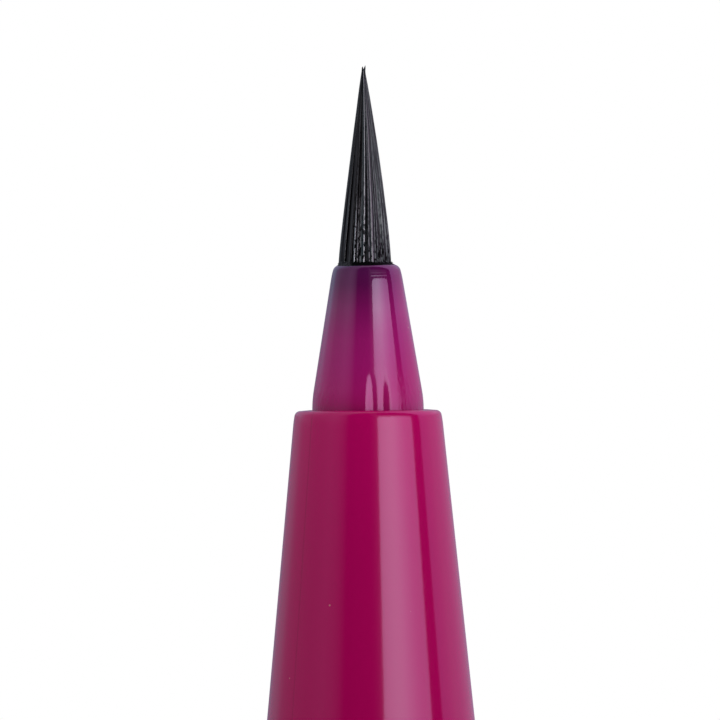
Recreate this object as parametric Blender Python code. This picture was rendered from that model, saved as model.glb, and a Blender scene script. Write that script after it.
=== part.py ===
"""Brush-tip liquid eyeliner pen, standing on its cap, which is posted on the tail.

Metres, with +Z towards the tip of the brush. The origin is the middle of the cap's closed end.
Every turned piece shares one axis. The shells share one number of sides, so that they nest with an even gap.
"""

import math
import random

import bmesh
import bpy
from mathutils import Matrix, Vector

# Clearances
SEAT_GAP = 0.00003
FACE_GAP = 0.00004
SLIDE_GAP = 0.00006
CUT_OVERRUN = 0.0005

# Cap and inner cap
CAP_LENGTH = 0.0430
CAP_END_THICKNESS = 0.0012
CAP_END_ROUND = 0.0008
CAP_RIM_ROUND = 0.00012
CAP_BORE_RADIUS = 0.0040
CAP_LEAD_LENGTH = 0.0010
CAP_FIT_MARGIN = 0.0005
CAP_RIDGE_HEIGHT = 0.00025
CAP_RIDGE_LENGTH = 0.0004
CAP_RIDGE_FROM_RIM = 0.0182
INNER_CAP_BORE_RADIUS = 0.0030
INNER_CAP_LIP_RADIUS = 0.00295
INNER_CAP_LIP_LENGTH = 0.0004
INNER_CAP_FLARE = 0.0003
INNER_CAP_WALL = 0.0005
INNER_CAP_FLOOR = 0.0007
INNER_CAP_FLANGE_LENGTH = 0.0015
SPRING_BOSS_RADIUS = 0.0018
SPRING_BOSS_LENGTH = 0.0011
INNER_CAP_BOSS_LENGTH = 0.0007
SPRING_BOSS_GAP = 0.00015
SPRING_WIRE_RADIUS = 0.0002
SPRING_LENGTH = 0.0044

# Barrel and tail
BARREL_RADIUS = 0.0050
BARREL_LENGTH = 0.0820
BARREL_WALL = 0.0009
BARREL_EDGE_ROUND = 0.00015
FIT_RADIUS = 0.00425
FIT_BEAD_HEIGHT = 0.00004
FIT_BEAD_LENGTH = 0.0006
FIT_BEAD_FROM_SHOULDER = 0.0022
POST_LENGTH = 0.0090
POST_WALL = 0.0008
POST_END_THICKNESS = 0.0010
POST_END_ROUND = 0.0005
TAIL_SPIGOT_LENGTH = 0.0060
STOPPER_LENGTH = 0.0040
STOPPER_WALL = 0.0007
STOPPER_RIB_LENGTH = 0.0007
STOPPER_GROOVE_DEPTH = 0.00022
STOPPER_DISH_DEPTH = 0.0004
STOPPER_DISH_RADIUS = 0.0022
BALL_RADIUS = 0.0020

# Front section
NECK_LENGTH = 0.0070
TAPER_LENGTH = 0.0145
SECTION_FRONT_RADIUS = 0.00283
SECTION_FRONT_ROUND = 0.00021
SECTION_SPIGOT_LENGTH = 0.0070
NOSE_SEAT_DEPTH = 0.0037
NOSE_FLANGE_RADIUS = 0.00265
NOSE_FLANGE_LENGTH = 0.0009
COLLECTOR_BORE_RADIUS = 0.00315
COLLECTOR_SHOULDER_DEPTH = 0.0098
COLLECTOR_SHOULDER_SLOPE_LENGTH = 0.0009

# Nose cone
NOSE_LENGTH = 0.00558
NOSE_BASE_RADIUS = 0.002145
NOSE_TIP_RADIUS = 0.001285
NOSE_CORNER_RADIUS = 0.00029
NOSE_BLEND_LENGTH = 0.00075
NOSE_MOUTH_RADIUS = 0.001025
VENT_COUNT = 2
VENT_TURN = math.radians(10.6)
VENT_WIDTH = 0.00115
VENT_DEPTH = 0.00013
VENT_LENGTH = 0.00138
VENT_HOLLOW_POWER = 1.3
VENT_RIB_HEIGHT = 0.000045
VENT_RIB_WIDTH = 0.00015
VENT_EDGE_OVERRUN_SHARE = 0.12

# Brush, its sleeve and the feed
BRUSH_LENGTH = 0.00770
BRUSH_RADIUS = 0.00100
BRUSH_ROOT_LENGTH = 0.0056
BRUSH_BUTT_LENGTH = 0.0006
BRUSH_BUTT_RADIUS = 0.00104
HAIR_SPACING = 0.000104
HAIR_RADIUS = 0.000043
HAIR_TIP_RADIUS_SHARE = 0.30
HAIR_DRAW_IN_SHARE = 0.80
HAIR_OUTLINE_POWER = 1.2
HAIR_OUTLINE_FALL_SHARE = 0.95
HAIR_LENGTH_SPREAD_SHARE = 0.05
HAIR_SEED = 7
SLEEVE_WALL = 0.00032
SLEEVE_DEPTH = 0.0030
FEED_RADIUS = 0.00065
FEED_STANDOUT = 0.0015
FEED_POINT_LENGTH = 0.0003

# Collector
FIN_COUNT = 17
FIN_THICKNESS = 0.00035
FIN_CLEARANCE = 0.00005
COLLECTOR_CORE_RADIUS = 0.0017
COLLECTOR_PLATE_THICKNESS = 0.0006
COLLECTOR_FLANGE_THICKNESS = 0.0008
COLLECTOR_STEM_RADIUS = 0.00165
COLLECTOR_REAR_INSET = 0.0003
INK_SLIT_WIDTH = 0.00018
AIR_SLOT_WIDTH = 0.0006
AIR_SLOT_FLOOR_RADIUS = 0.0021
SEAL_WIRE_RADIUS = 0.00033
SEAL_GAP = 0.00002

# Counts and angles
TURN_SIDES = 32
NOSE_SIDES = 48
COMB_SIDES = 24
ROUND_STEPS = 3
SEAL_SIDES = 8
STOPPER_RIB_COUNT = 3
BALL_SUBDIVISIONS = 3
SPRING_WIRE_STEPS = 1
VENT_STEPS = 14
HAIR_SIDES = 3
SPRING_TURNS = 4
SPRING_POINTS_PER_TURN = 10
SEARCH_STEPS = 24
SMOOTH_ANGLE = math.radians(32)
MERGE_DISTANCE = 1e-7

# Levels along the axis, worked out from the sizes above
CAP_RIM_Z = CAP_LENGTH
POST_END_Z = CAP_RIM_Z - POST_LENGTH
BARREL_REAR_Z = CAP_RIM_Z + FACE_GAP
BARREL_FRONT_Z = BARREL_REAR_Z + BARREL_LENGTH
NECK_REAR_Z = BARREL_FRONT_Z + FACE_GAP
NECK_FRONT_Z = NECK_REAR_Z + NECK_LENGTH
SECTION_FRONT_Z = NECK_FRONT_Z + TAPER_LENGTH
SECTION_REAR_Z = BARREL_FRONT_Z - SECTION_SPIGOT_LENGTH
NOSE_TIP_Z = SECTION_FRONT_Z + NOSE_LENGTH
NOSE_SEAT_Z = SECTION_FRONT_Z - NOSE_SEAT_DEPTH
NOSE_REAR_Z = NOSE_SEAT_Z - FACE_GAP - NOSE_FLANGE_LENGTH
BRUSH_BUTT_FRONT_Z = NOSE_TIP_Z - BRUSH_ROOT_LENGTH
BRUSH_BUTT_REAR_Z = BRUSH_BUTT_FRONT_Z - BRUSH_BUTT_LENGTH
COLLECTOR_SHOULDER_Z = SECTION_FRONT_Z - COLLECTOR_SHOULDER_DEPTH
COLLECTOR_FRONT_Z = COLLECTOR_SHOULDER_Z - FACE_GAP
COLLECTOR_REAR_Z = SECTION_REAR_Z + COLLECTOR_REAR_INSET
TAIL_SPIGOT_END_Z = BARREL_REAR_Z + TAIL_SPIGOT_LENGTH
STOPPER_REAR_Z = TAIL_SPIGOT_END_Z + FACE_GAP
STOPPER_FRONT_Z = STOPPER_REAR_Z + STOPPER_LENGTH
RIDGE_TOP_Z = CAP_RIM_Z - CAP_RIDGE_FROM_RIM
RIDGE_BOTTOM_Z = RIDGE_TOP_Z - CAP_RIDGE_LENGTH - 2 * CAP_RIDGE_HEIGHT
INNER_CAP_TOP_Z = RIDGE_BOTTOM_Z - FACE_GAP
INNER_CAP_BOTTOM_Z = CAP_END_THICKNESS + SPRING_LENGTH + 2 * FACE_GAP

# Radii worked out from the sizes above
CAP_FIT_RADIUS = FIT_RADIUS + SLIDE_GAP
BARREL_BORE_RADIUS = BARREL_RADIUS - BARREL_WALL
SPIGOT_RADIUS = BARREL_BORE_RADIUS - SEAT_GAP
NOSE_BORE_RADIUS = NOSE_BASE_RADIUS + SEAT_GAP
SLEEVE_BORE_RADIUS = BRUSH_BUTT_RADIUS + SEAT_GAP
SLEEVE_RADIUS = SLEEVE_BORE_RADIUS + SLEEVE_WALL
FEED_BORE_RADIUS = FEED_RADIUS + SEAT_GAP
SEAL_RADIUS = COLLECTOR_BORE_RADIUS - SEAL_GAP - SEAL_WIRE_RADIUS


def remove_scene_objects():
    for item in list(bpy.data.objects):
        bpy.data.objects.remove(item, do_unlink=True)


def make_material(name, colour, roughness, metallic=0.0):
    finish = bpy.data.materials.new(name)
    finish.use_nodes = True
    shader = finish.node_tree.nodes["Principled BSDF"]
    shader.inputs["Base Color"].default_value = (*colour, 1.0)
    shader.inputs["Roughness"].default_value = roughness
    shader.inputs["Metallic"].default_value = metallic
    return finish


def add_object(name, shape, finish):
    """Makes an object of a bmesh, with its round sides shaded smooth."""
    mesh = bpy.data.meshes.new(name)
    shape.to_mesh(mesh)
    shape.free()
    mesh.shade_smooth()
    mesh.set_sharp_from_angle(angle=SMOOTH_ANGLE)
    mesh.materials.append(finish)
    piece = bpy.data.objects.new(name, mesh)
    bpy.context.scene.collection.objects.link(piece)
    return piece


def rounded(centre_radius, centre_z, size, start_degrees, end_degrees):
    """Points of a round corner in the half plane, as (radius, z)."""
    points = []
    for step in range(ROUND_STEPS + 1):
        share = step / ROUND_STEPS
        angle = math.radians(start_degrees + (end_degrees - start_degrees) * share)
        points.append((centre_radius + size * math.cos(angle), centre_z + size * math.sin(angle)))
    return points


def turned_shape(outline, closed, sides=TURN_SIDES):
    """Spins an outline of (radius, z) points about the axis. A solid one starts and ends on the axis."""
    shape = bmesh.new()
    corners = [shape.verts.new((radius, 0.0, level)) for radius, level in outline]
    edges = [shape.edges.new(pair) for pair in zip(corners, corners[1:])]
    if closed:
        edges.append(shape.edges.new((corners[-1], corners[0])))
    bmesh.ops.spin(
        shape,
        geom=corners + edges,
        cent=(0.0, 0.0, 0.0),
        axis=(0.0, 0.0, 1.0),
        dvec=(0.0, 0.0, 0.0),
        angle=math.tau,
        steps=sides,
        use_merge=True,
        use_duplicate=False,
    )
    bmesh.ops.remove_doubles(shape, verts=shape.verts, dist=MERGE_DISTANCE)
    bmesh.ops.recalc_face_normals(shape, faces=shape.faces)
    return shape


def turned(name, outline, finish, closed=True, sides=TURN_SIDES):
    return add_object(name, turned_shape(outline, closed, sides), finish)


def use_as_tool(piece, tool, operation):
    """Cuts a tool from a piece, or joins it to the piece, and leaves the tool out of the part."""
    tool.hide_render = True
    tool.display_type = "WIRE"
    cut = piece.modifiers.new(tool.name, "BOOLEAN")
    cut.operation = operation
    cut.solver = "EXACT"
    cut.object = tool


def add_box(shape, low, high):
    """Adds a box to a bmesh between two corners."""
    size = Vector(high) - Vector(low)
    middle = (Vector(high) + Vector(low)) / 2
    place = Matrix.Translation(middle) @ Matrix.Diagonal((*size, 1.0))
    bmesh.ops.create_cube(shape, size=1.0, matrix=place)


def grip_bead(shoulder_z, towards):
    """Outline of the low bead that holds the cap on the neck or the post, away from the shoulder."""
    middle = shoulder_z + towards * FIT_BEAD_FROM_SHOULDER
    half = FIT_BEAD_LENGTH / 2
    return [
        (FIT_RADIUS, middle - towards * half),
        (FIT_RADIUS + FIT_BEAD_HEIGHT, middle),
        (FIT_RADIUS, middle + towards * half),
    ]


def make_cap_shell(finish):
    lead_z = POST_END_Z - CAP_FIT_MARGIN
    ridge_radius = CAP_BORE_RADIUS - CAP_RIDGE_HEIGHT
    outline = [(0.0, 0.0)]
    outline += rounded(BARREL_RADIUS - CAP_END_ROUND, CAP_END_ROUND, CAP_END_ROUND, -90, 0)
    outline += rounded(BARREL_RADIUS - CAP_RIM_ROUND, CAP_RIM_Z - CAP_RIM_ROUND, CAP_RIM_ROUND, 0, 90)
    outline += [
        (CAP_FIT_RADIUS + CAP_RIM_ROUND, CAP_RIM_Z),
        (CAP_FIT_RADIUS, CAP_RIM_Z - CAP_RIM_ROUND),
        (CAP_FIT_RADIUS, lead_z),
        (CAP_BORE_RADIUS, lead_z - CAP_LEAD_LENGTH),
        (CAP_BORE_RADIUS, RIDGE_TOP_Z),
        (ridge_radius, RIDGE_TOP_Z - CAP_RIDGE_HEIGHT),
        (ridge_radius, RIDGE_BOTTOM_Z + CAP_RIDGE_HEIGHT),
        (CAP_BORE_RADIUS, RIDGE_BOTTOM_Z),
        (CAP_BORE_RADIUS, CAP_END_THICKNESS),
        (SPRING_BOSS_RADIUS, CAP_END_THICKNESS),
        (SPRING_BOSS_RADIUS, CAP_END_THICKNESS + SPRING_BOSS_LENGTH),
        (0.0, CAP_END_THICKNESS + SPRING_BOSS_LENGTH),
    ]
    return turned("cap_shell", outline, finish, closed=False)


def make_inner_cap(finish):
    outer = INNER_CAP_BORE_RADIUS + INNER_CAP_WALL
    flange = CAP_BORE_RADIUS - SLIDE_GAP
    flange_rear_z = INNER_CAP_TOP_Z - INNER_CAP_FLANGE_LENGTH
    lip_z = INNER_CAP_TOP_Z - INNER_CAP_FLARE
    floor_z = INNER_CAP_BOTTOM_Z + INNER_CAP_FLOOR
    boss_z = INNER_CAP_BOTTOM_Z - INNER_CAP_BOSS_LENGTH
    outline = [
        (0.0, boss_z),
        (SPRING_BOSS_RADIUS, boss_z),
        (SPRING_BOSS_RADIUS, INNER_CAP_BOTTOM_Z),
        (outer - INNER_CAP_FLARE, INNER_CAP_BOTTOM_Z),
        (outer, INNER_CAP_BOTTOM_Z + INNER_CAP_FLARE),
        (outer, flange_rear_z - INNER_CAP_FLARE),
        (flange, flange_rear_z),
        (flange, INNER_CAP_TOP_Z - INNER_CAP_FLARE),
        (flange - INNER_CAP_FLARE, INNER_CAP_TOP_Z),
        (INNER_CAP_LIP_RADIUS + INNER_CAP_FLARE, INNER_CAP_TOP_Z),
        (INNER_CAP_LIP_RADIUS, lip_z),
        (INNER_CAP_LIP_RADIUS, lip_z - INNER_CAP_LIP_LENGTH),
        (INNER_CAP_BORE_RADIUS, lip_z - 2 * INNER_CAP_LIP_LENGTH),
        (INNER_CAP_BORE_RADIUS, floor_z + INNER_CAP_FLARE),
        (INNER_CAP_BORE_RADIUS - INNER_CAP_FLARE, floor_z),
        (0.0, floor_z),
    ]
    return turned("inner_cap", outline, finish, closed=False)


def spring_points():
    """Middle line of the spring's wire, between the cap's end and the foot of the inner cap."""
    low = CAP_END_THICKNESS + FACE_GAP + SPRING_WIRE_RADIUS
    high = INNER_CAP_BOTTOM_Z - FACE_GAP - SPRING_WIRE_RADIUS
    radius = SPRING_BOSS_RADIUS + SPRING_BOSS_GAP + SPRING_WIRE_RADIUS
    count = SPRING_TURNS * SPRING_POINTS_PER_TURN
    points = []
    for index in range(count + 1):
        angle = math.tau * index / SPRING_POINTS_PER_TURN
        level = low + (high - low) * index / count
        points.append(Vector((radius * math.cos(angle), radius * math.sin(angle), level)))
    return points


def print_least_spring_gap(points):
    """Prints the least gap between turns of the spring, measured on its points."""
    apart = SPRING_POINTS_PER_TURN // 2
    gaps = []
    for index, point in enumerate(points):
        for other in points[index + apart:]:
            gaps.append((other - point).length - 2 * SPRING_WIRE_RADIUS)
    print("least gap between spring turns, in metres:", round(min(gaps), 6))


def make_inner_cap_spring(finish):
    points = spring_points()
    print_least_spring_gap(points)
    wire = bpy.data.curves.new("inner_cap_spring", "CURVE")
    wire.dimensions = "3D"
    wire.bevel_depth = SPRING_WIRE_RADIUS
    wire.bevel_resolution = SPRING_WIRE_STEPS
    wire.use_fill_caps = True
    line = wire.splines.new("POLY")
    line.points.add(len(points) - 1)
    for target, point in zip(line.points, points):
        target.co = (*point, 1.0)
    wire.materials.append(finish)
    spring = bpy.data.objects.new("inner_cap_spring", wire)
    bpy.context.scene.collection.objects.link(spring)
    return spring


def make_barrel(finish):
    edge = BARREL_EDGE_ROUND
    outline = rounded(BARREL_RADIUS - edge, BARREL_REAR_Z + edge, edge, -90, 0)
    outline += rounded(BARREL_RADIUS - edge, BARREL_FRONT_Z - edge, edge, 0, 90)
    outline += [
        (BARREL_BORE_RADIUS, BARREL_FRONT_Z),
        (BARREL_BORE_RADIUS, BARREL_REAR_Z),
    ]
    return turned("barrel", outline, finish)


def make_tail_post(finish):
    shoulder_z = BARREL_REAR_Z - FACE_GAP
    bore = SPIGOT_RADIUS - POST_WALL
    floor_z = POST_END_Z + POST_END_THICKNESS
    outline = [(0.0, POST_END_Z)]
    outline += rounded(FIT_RADIUS - POST_END_ROUND, POST_END_Z + POST_END_ROUND, POST_END_ROUND, -90, 0)
    outline += reversed(grip_bead(shoulder_z, -1))
    outline += [
        (FIT_RADIUS, shoulder_z),
        (SPIGOT_RADIUS, shoulder_z),
        (SPIGOT_RADIUS, TAIL_SPIGOT_END_Z - BARREL_EDGE_ROUND),
        (SPIGOT_RADIUS - BARREL_EDGE_ROUND, TAIL_SPIGOT_END_Z),
        (bore, TAIL_SPIGOT_END_Z),
        (bore, floor_z + POST_END_ROUND),
        (bore - POST_END_ROUND, floor_z),
        (0.0, floor_z),
    ]
    return turned("tail_post", outline, finish, closed=False)


def make_tail_stopper(finish):
    """Cup that opens to the tail, with sealing ribs and a dish that centres the ball."""
    rib = BARREL_BORE_RADIUS - SEAT_GAP
    groove = rib - STOPPER_GROOVE_DEPTH
    gap_length = (STOPPER_LENGTH - STOPPER_RIB_COUNT * STOPPER_RIB_LENGTH) / (STOPPER_RIB_COUNT - 1)
    outline = [(0.0, STOPPER_FRONT_Z - STOPPER_WALL - STOPPER_DISH_DEPTH)]
    outline += [
        (STOPPER_DISH_RADIUS, STOPPER_FRONT_Z - STOPPER_WALL - STOPPER_DISH_DEPTH),
        (groove - STOPPER_WALL, STOPPER_FRONT_Z - STOPPER_WALL - STOPPER_DISH_DEPTH),
        (groove - STOPPER_WALL, STOPPER_REAR_Z),
    ]
    level = STOPPER_REAR_Z
    for _ in range(STOPPER_RIB_COUNT - 1):
        outline += [
            (rib, level),
            (rib, level + STOPPER_RIB_LENGTH),
            (groove, level + STOPPER_RIB_LENGTH + STOPPER_GROOVE_DEPTH),
            (groove, level + STOPPER_RIB_LENGTH + gap_length - STOPPER_GROOVE_DEPTH),
        ]
        level += STOPPER_RIB_LENGTH + gap_length
    outline += [
        (rib, level),
        (rib, STOPPER_FRONT_Z),
        (STOPPER_DISH_RADIUS, STOPPER_FRONT_Z),
        (0.0, STOPPER_FRONT_Z - STOPPER_DISH_DEPTH),
    ]
    return turned("tail_stopper", outline, finish, closed=False)


def make_mixing_ball(finish):
    """Steel ball at rest in the stopper's dish, with its origin on the line that it travels along."""
    slope = math.atan2(STOPPER_DISH_DEPTH, STOPPER_DISH_RADIUS)
    dish_bottom = STOPPER_FRONT_Z - STOPPER_DISH_DEPTH
    centre_z = dish_bottom + BALL_RADIUS / math.cos(slope) + FACE_GAP
    shape = bmesh.new()
    bmesh.ops.create_icosphere(shape, subdivisions=BALL_SUBDIVISIONS, radius=BALL_RADIUS)
    ball = add_object("mixing_ball", shape, finish)
    ball.location = (0.0, 0.0, centre_z)
    return ball


def section_radius(level):
    """Outer radius of the tapered front at a level on the axis."""
    share = (SECTION_FRONT_Z - level) / TAPER_LENGTH
    return SECTION_FRONT_RADIUS + (FIT_RADIUS - SECTION_FRONT_RADIUS) * share


def make_front_section(finish):
    edge = SECTION_FRONT_ROUND
    taper_degrees = math.degrees(math.atan2(FIT_RADIUS - SECTION_FRONT_RADIUS, TAPER_LENGTH))
    flange_bore = NOSE_FLANGE_RADIUS + SLIDE_GAP
    slope_z = COLLECTOR_SHOULDER_Z + COLLECTOR_SHOULDER_SLOPE_LENGTH
    outline = [
        (COLLECTOR_BORE_RADIUS, SECTION_REAR_Z),
        (SPIGOT_RADIUS - BARREL_EDGE_ROUND, SECTION_REAR_Z),
        (SPIGOT_RADIUS, SECTION_REAR_Z + BARREL_EDGE_ROUND),
        (SPIGOT_RADIUS, NECK_REAR_Z),
        (FIT_RADIUS, NECK_REAR_Z),
    ]
    outline += grip_bead(NECK_REAR_Z, 1)
    outline += [(FIT_RADIUS, NECK_FRONT_Z)]
    round_z = SECTION_FRONT_Z - edge
    outline += rounded(section_radius(round_z) - edge, round_z, edge, taper_degrees, 90)
    outline += [
        (NOSE_BORE_RADIUS, SECTION_FRONT_Z),
        (NOSE_BORE_RADIUS, NOSE_SEAT_Z),
        (flange_bore, NOSE_SEAT_Z),
        (flange_bore, slope_z),
        (COLLECTOR_CORE_RADIUS + FIN_THICKNESS, slope_z),
        (COLLECTOR_CORE_RADIUS + FIN_THICKNESS, COLLECTOR_SHOULDER_Z),
        (COLLECTOR_BORE_RADIUS, COLLECTOR_SHOULDER_Z),
    ]
    return turned("front_section", outline, finish)


def nose_slope():
    """Radius that the straight cone gains for each metre down the axis."""
    return (NOSE_BASE_RADIUS - NOSE_TIP_RADIUS) / (NOSE_LENGTH - NOSE_BLEND_LENGTH / 2)


def nose_outer_points():
    """Nose cone from its mouth to its base: a round lip, a straight cone and a blend to the round base."""
    cone_angle = math.atan(nose_slope())
    tangent = NOSE_CORNER_RADIUS * math.tan((math.pi / 2 - cone_angle) / 2)
    lip_z = NOSE_TIP_Z - NOSE_CORNER_RADIUS
    lip = rounded(NOSE_TIP_RADIUS - tangent, lip_z, NOSE_CORNER_RADIUS, math.degrees(cone_angle), 90)
    points = [(NOSE_MOUTH_RADIUS, NOSE_TIP_Z)]
    points += reversed(lip)
    for step in range(ROUND_STEPS + 1):
        share = 1 - step / ROUND_STEPS
        lean = nose_slope() * NOSE_BLEND_LENGTH / 2 * share * share
        points.append((NOSE_BASE_RADIUS - lean, SECTION_FRONT_Z + NOSE_BLEND_LENGTH * share))
    return points


def make_nose_cone(finish):
    sleeve_bore = SLEEVE_RADIUS + SEAT_GAP
    sleeve_seat_z = NOSE_TIP_Z - SLEEVE_DEPTH
    outline = nose_outer_points()
    outline += [
        (NOSE_BASE_RADIUS, NOSE_SEAT_Z - FACE_GAP),
        (NOSE_FLANGE_RADIUS, NOSE_SEAT_Z - FACE_GAP),
        (NOSE_FLANGE_RADIUS, NOSE_REAR_Z),
        (sleeve_bore, NOSE_REAR_Z),
        (sleeve_bore, sleeve_seat_z),
        (NOSE_MOUTH_RADIUS, sleeve_seat_z),
    ]
    cone = turned("nose_cone", outline, finish, sides=NOSE_SIDES)
    use_as_tool(cone, make_vent_cutter(finish), "DIFFERENCE")
    return cone


def vent_depth(across):
    """Depth of an air groove below the round base, at a distance across it, with a low middle rib."""
    half = VENT_WIDTH / 2
    hollow = VENT_DEPTH * (1 - (abs(across) / half) ** VENT_HOLLOW_POWER)
    return hollow - VENT_RIB_HEIGHT * math.exp(-((across / VENT_RIB_WIDTH) ** 2))


def vent_section(sink):
    """Section of a groove's cutter, as points from the axis, with its floor sunk further by a length."""
    reach = VENT_WIDTH / 2 * (1 + VENT_EDGE_OVERRUN_SHARE)
    points = []
    for step in range(VENT_STEPS + 1):
        across = reach * (2 * step / VENT_STEPS - 1)
        angle = across / NOSE_BASE_RADIUS
        floor = NOSE_BASE_RADIUS - vent_depth(across) - sink
        points.append(Vector((floor * math.cos(angle), floor * math.sin(angle), 0.0)))
    outer = NOSE_FLANGE_RADIUS + CUT_OVERRUN
    corner = reach / NOSE_BASE_RADIUS
    points.append(Vector((outer, outer * math.tan(corner), 0.0)))
    points.append(Vector((outer, -outer * math.tan(corner), 0.0)))
    return points


def make_vent_cutter(finish):
    """Bars that run along the nose's foot, then lean in as they rise and run out on the cone."""
    shape = bmesh.new()
    cone_drop = nose_slope() * (VENT_LENGTH - NOSE_BLEND_LENGTH / 2)
    stations = [
        (NOSE_REAR_Z - CUT_OVERRUN, 0.0),
        (SECTION_FRONT_Z, 0.0),
        (SECTION_FRONT_Z + 2 * VENT_LENGTH, 2 * (cone_drop - VENT_DEPTH)),
    ]
    for index in range(VENT_COUNT):
        turn = VENT_TURN - math.pi / 2 + math.tau * index / VENT_COUNT
        spin = Matrix.Rotation(turn, 4, "Z")
        rings = []
        for level, sink in stations:
            lift = Vector((0.0, 0.0, level))
            rings.append([shape.verts.new(spin @ point + lift) for point in vent_section(sink)])
        shape.faces.new(rings[0])
        shape.faces.new(rings[-1])
        for lower, upper in zip(rings, rings[1:]):
            for side in range(len(lower)):
                after = (side + 1) % len(lower)
                shape.faces.new((lower[side], lower[after], upper[after], upper[side]))
    bmesh.ops.recalc_face_normals(shape, faces=shape.faces)
    return add_object("vent_cutter", shape, finish)


def make_brush_sleeve(finish):
    step_z = BRUSH_BUTT_REAR_Z - FACE_GAP
    outline = [
        (FEED_BORE_RADIUS, NOSE_REAR_Z + FACE_GAP),
        (SLEEVE_RADIUS, NOSE_REAR_Z + FACE_GAP),
        (SLEEVE_RADIUS, NOSE_TIP_Z - SLEEVE_DEPTH - FACE_GAP),
        (SLEEVE_BORE_RADIUS, NOSE_TIP_Z - SLEEVE_DEPTH - FACE_GAP),
        (SLEEVE_BORE_RADIUS, step_z),
        (FEED_BORE_RADIUS, step_z),
    ]
    return turned("brush_sleeve", outline, finish)


def hair_places():
    """Places of the hairs across the root, on a triangular grid inside the tuft's round outline."""
    limit = BRUSH_RADIUS - HAIR_RADIUS
    row_height = HAIR_SPACING * math.sqrt(3) / 2
    rows = math.ceil(limit / row_height)
    columns = math.ceil(limit / HAIR_SPACING) + 1
    places = []
    for row in range(-rows, rows + 1):
        shift = HAIR_SPACING / 2 * (row % 2)
        for column in range(-columns, columns + 1):
            place = Vector((column * HAIR_SPACING + shift, row * row_height, 0.0))
            if place.length <= limit:
                places.append(place)
    return places


def hair_end_share(place, spread):
    """How far up the tuft a hair reaches: the outer hairs meet the tuft's outline first."""
    reach = place.length / BRUSH_RADIUS
    low, high = 0.0, 1.0
    for _ in range(SEARCH_STEPS):
        middle = (low + high) / 2
        outline = 1 - HAIR_OUTLINE_FALL_SHARE * middle**HAIR_OUTLINE_POWER
        if reach * (1 - HAIR_DRAW_IN_SHARE * middle) < outline:
            low = middle
        else:
            high = middle
    return low * (1 - HAIR_LENGTH_SPREAD_SHARE * spread)


def add_hair(shape, place, spread, turn):
    """Adds one three-sided hair: straight in the nose cone, then leaning in and thinning to its tip."""
    share = hair_end_share(place, spread)
    drawn_in = 1 - HAIR_DRAW_IN_SHARE * share
    tip_radius = HAIR_RADIUS * drawn_in * HAIR_TIP_RADIUS_SHARE
    stations = [
        (place, BRUSH_BUTT_FRONT_Z - BRUSH_BUTT_LENGTH / 2, HAIR_RADIUS),
        (place, NOSE_TIP_Z, HAIR_RADIUS),
        (place * drawn_in, NOSE_TIP_Z + BRUSH_LENGTH * share, tip_radius),
    ]
    rings = []
    for middle, level, radius in stations:
        ring = []
        for side in range(HAIR_SIDES):
            angle = turn + math.tau * side / HAIR_SIDES
            offset = Vector((radius * math.cos(angle), radius * math.sin(angle), level))
            ring.append(shape.verts.new(middle + offset))
        rings.append(ring)
    shape.faces.new(reversed(rings[0]))
    for lower, upper in zip(rings, rings[1:]):
        for side in range(HAIR_SIDES):
            after = (side + 1) % HAIR_SIDES
            shape.faces.new((lower[side], lower[after], upper[after], upper[side]))
    shape.faces.new(rings[-1])


def make_brush_tuft(finish):
    chance = random.Random(HAIR_SEED)
    shape = bmesh.new()
    places = hair_places()
    for place in places:
        add_hair(shape, place, chance.random(), chance.random() * math.tau)
    print("hairs in the tuft:", len(places))
    hairs = add_object("tuft_hairs", shape, finish)
    outline = [
        (0.0, BRUSH_BUTT_REAR_Z),
        (BRUSH_BUTT_RADIUS, BRUSH_BUTT_REAR_Z),
        (BRUSH_BUTT_RADIUS, BRUSH_BUTT_FRONT_Z),
        (0.0, BRUSH_BUTT_FRONT_Z),
    ]
    tuft = turned("brush_tuft", outline, finish, closed=False)
    use_as_tool(tuft, hairs, "UNION")
    return tuft


def make_feed_rod(finish):
    front_z = BRUSH_BUTT_REAR_Z - FACE_GAP
    rear_z = COLLECTOR_REAR_Z - FEED_STANDOUT
    blunt = FEED_RADIUS - FEED_POINT_LENGTH
    outline = [
        (0.0, rear_z),
        (blunt, rear_z),
        (FEED_RADIUS, rear_z + FEED_POINT_LENGTH),
        (FEED_RADIUS, front_z - FEED_POINT_LENGTH),
        (blunt, front_z),
        (0.0, front_z),
    ]
    return turned("feed_rod", outline, finish, closed=False)


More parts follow.
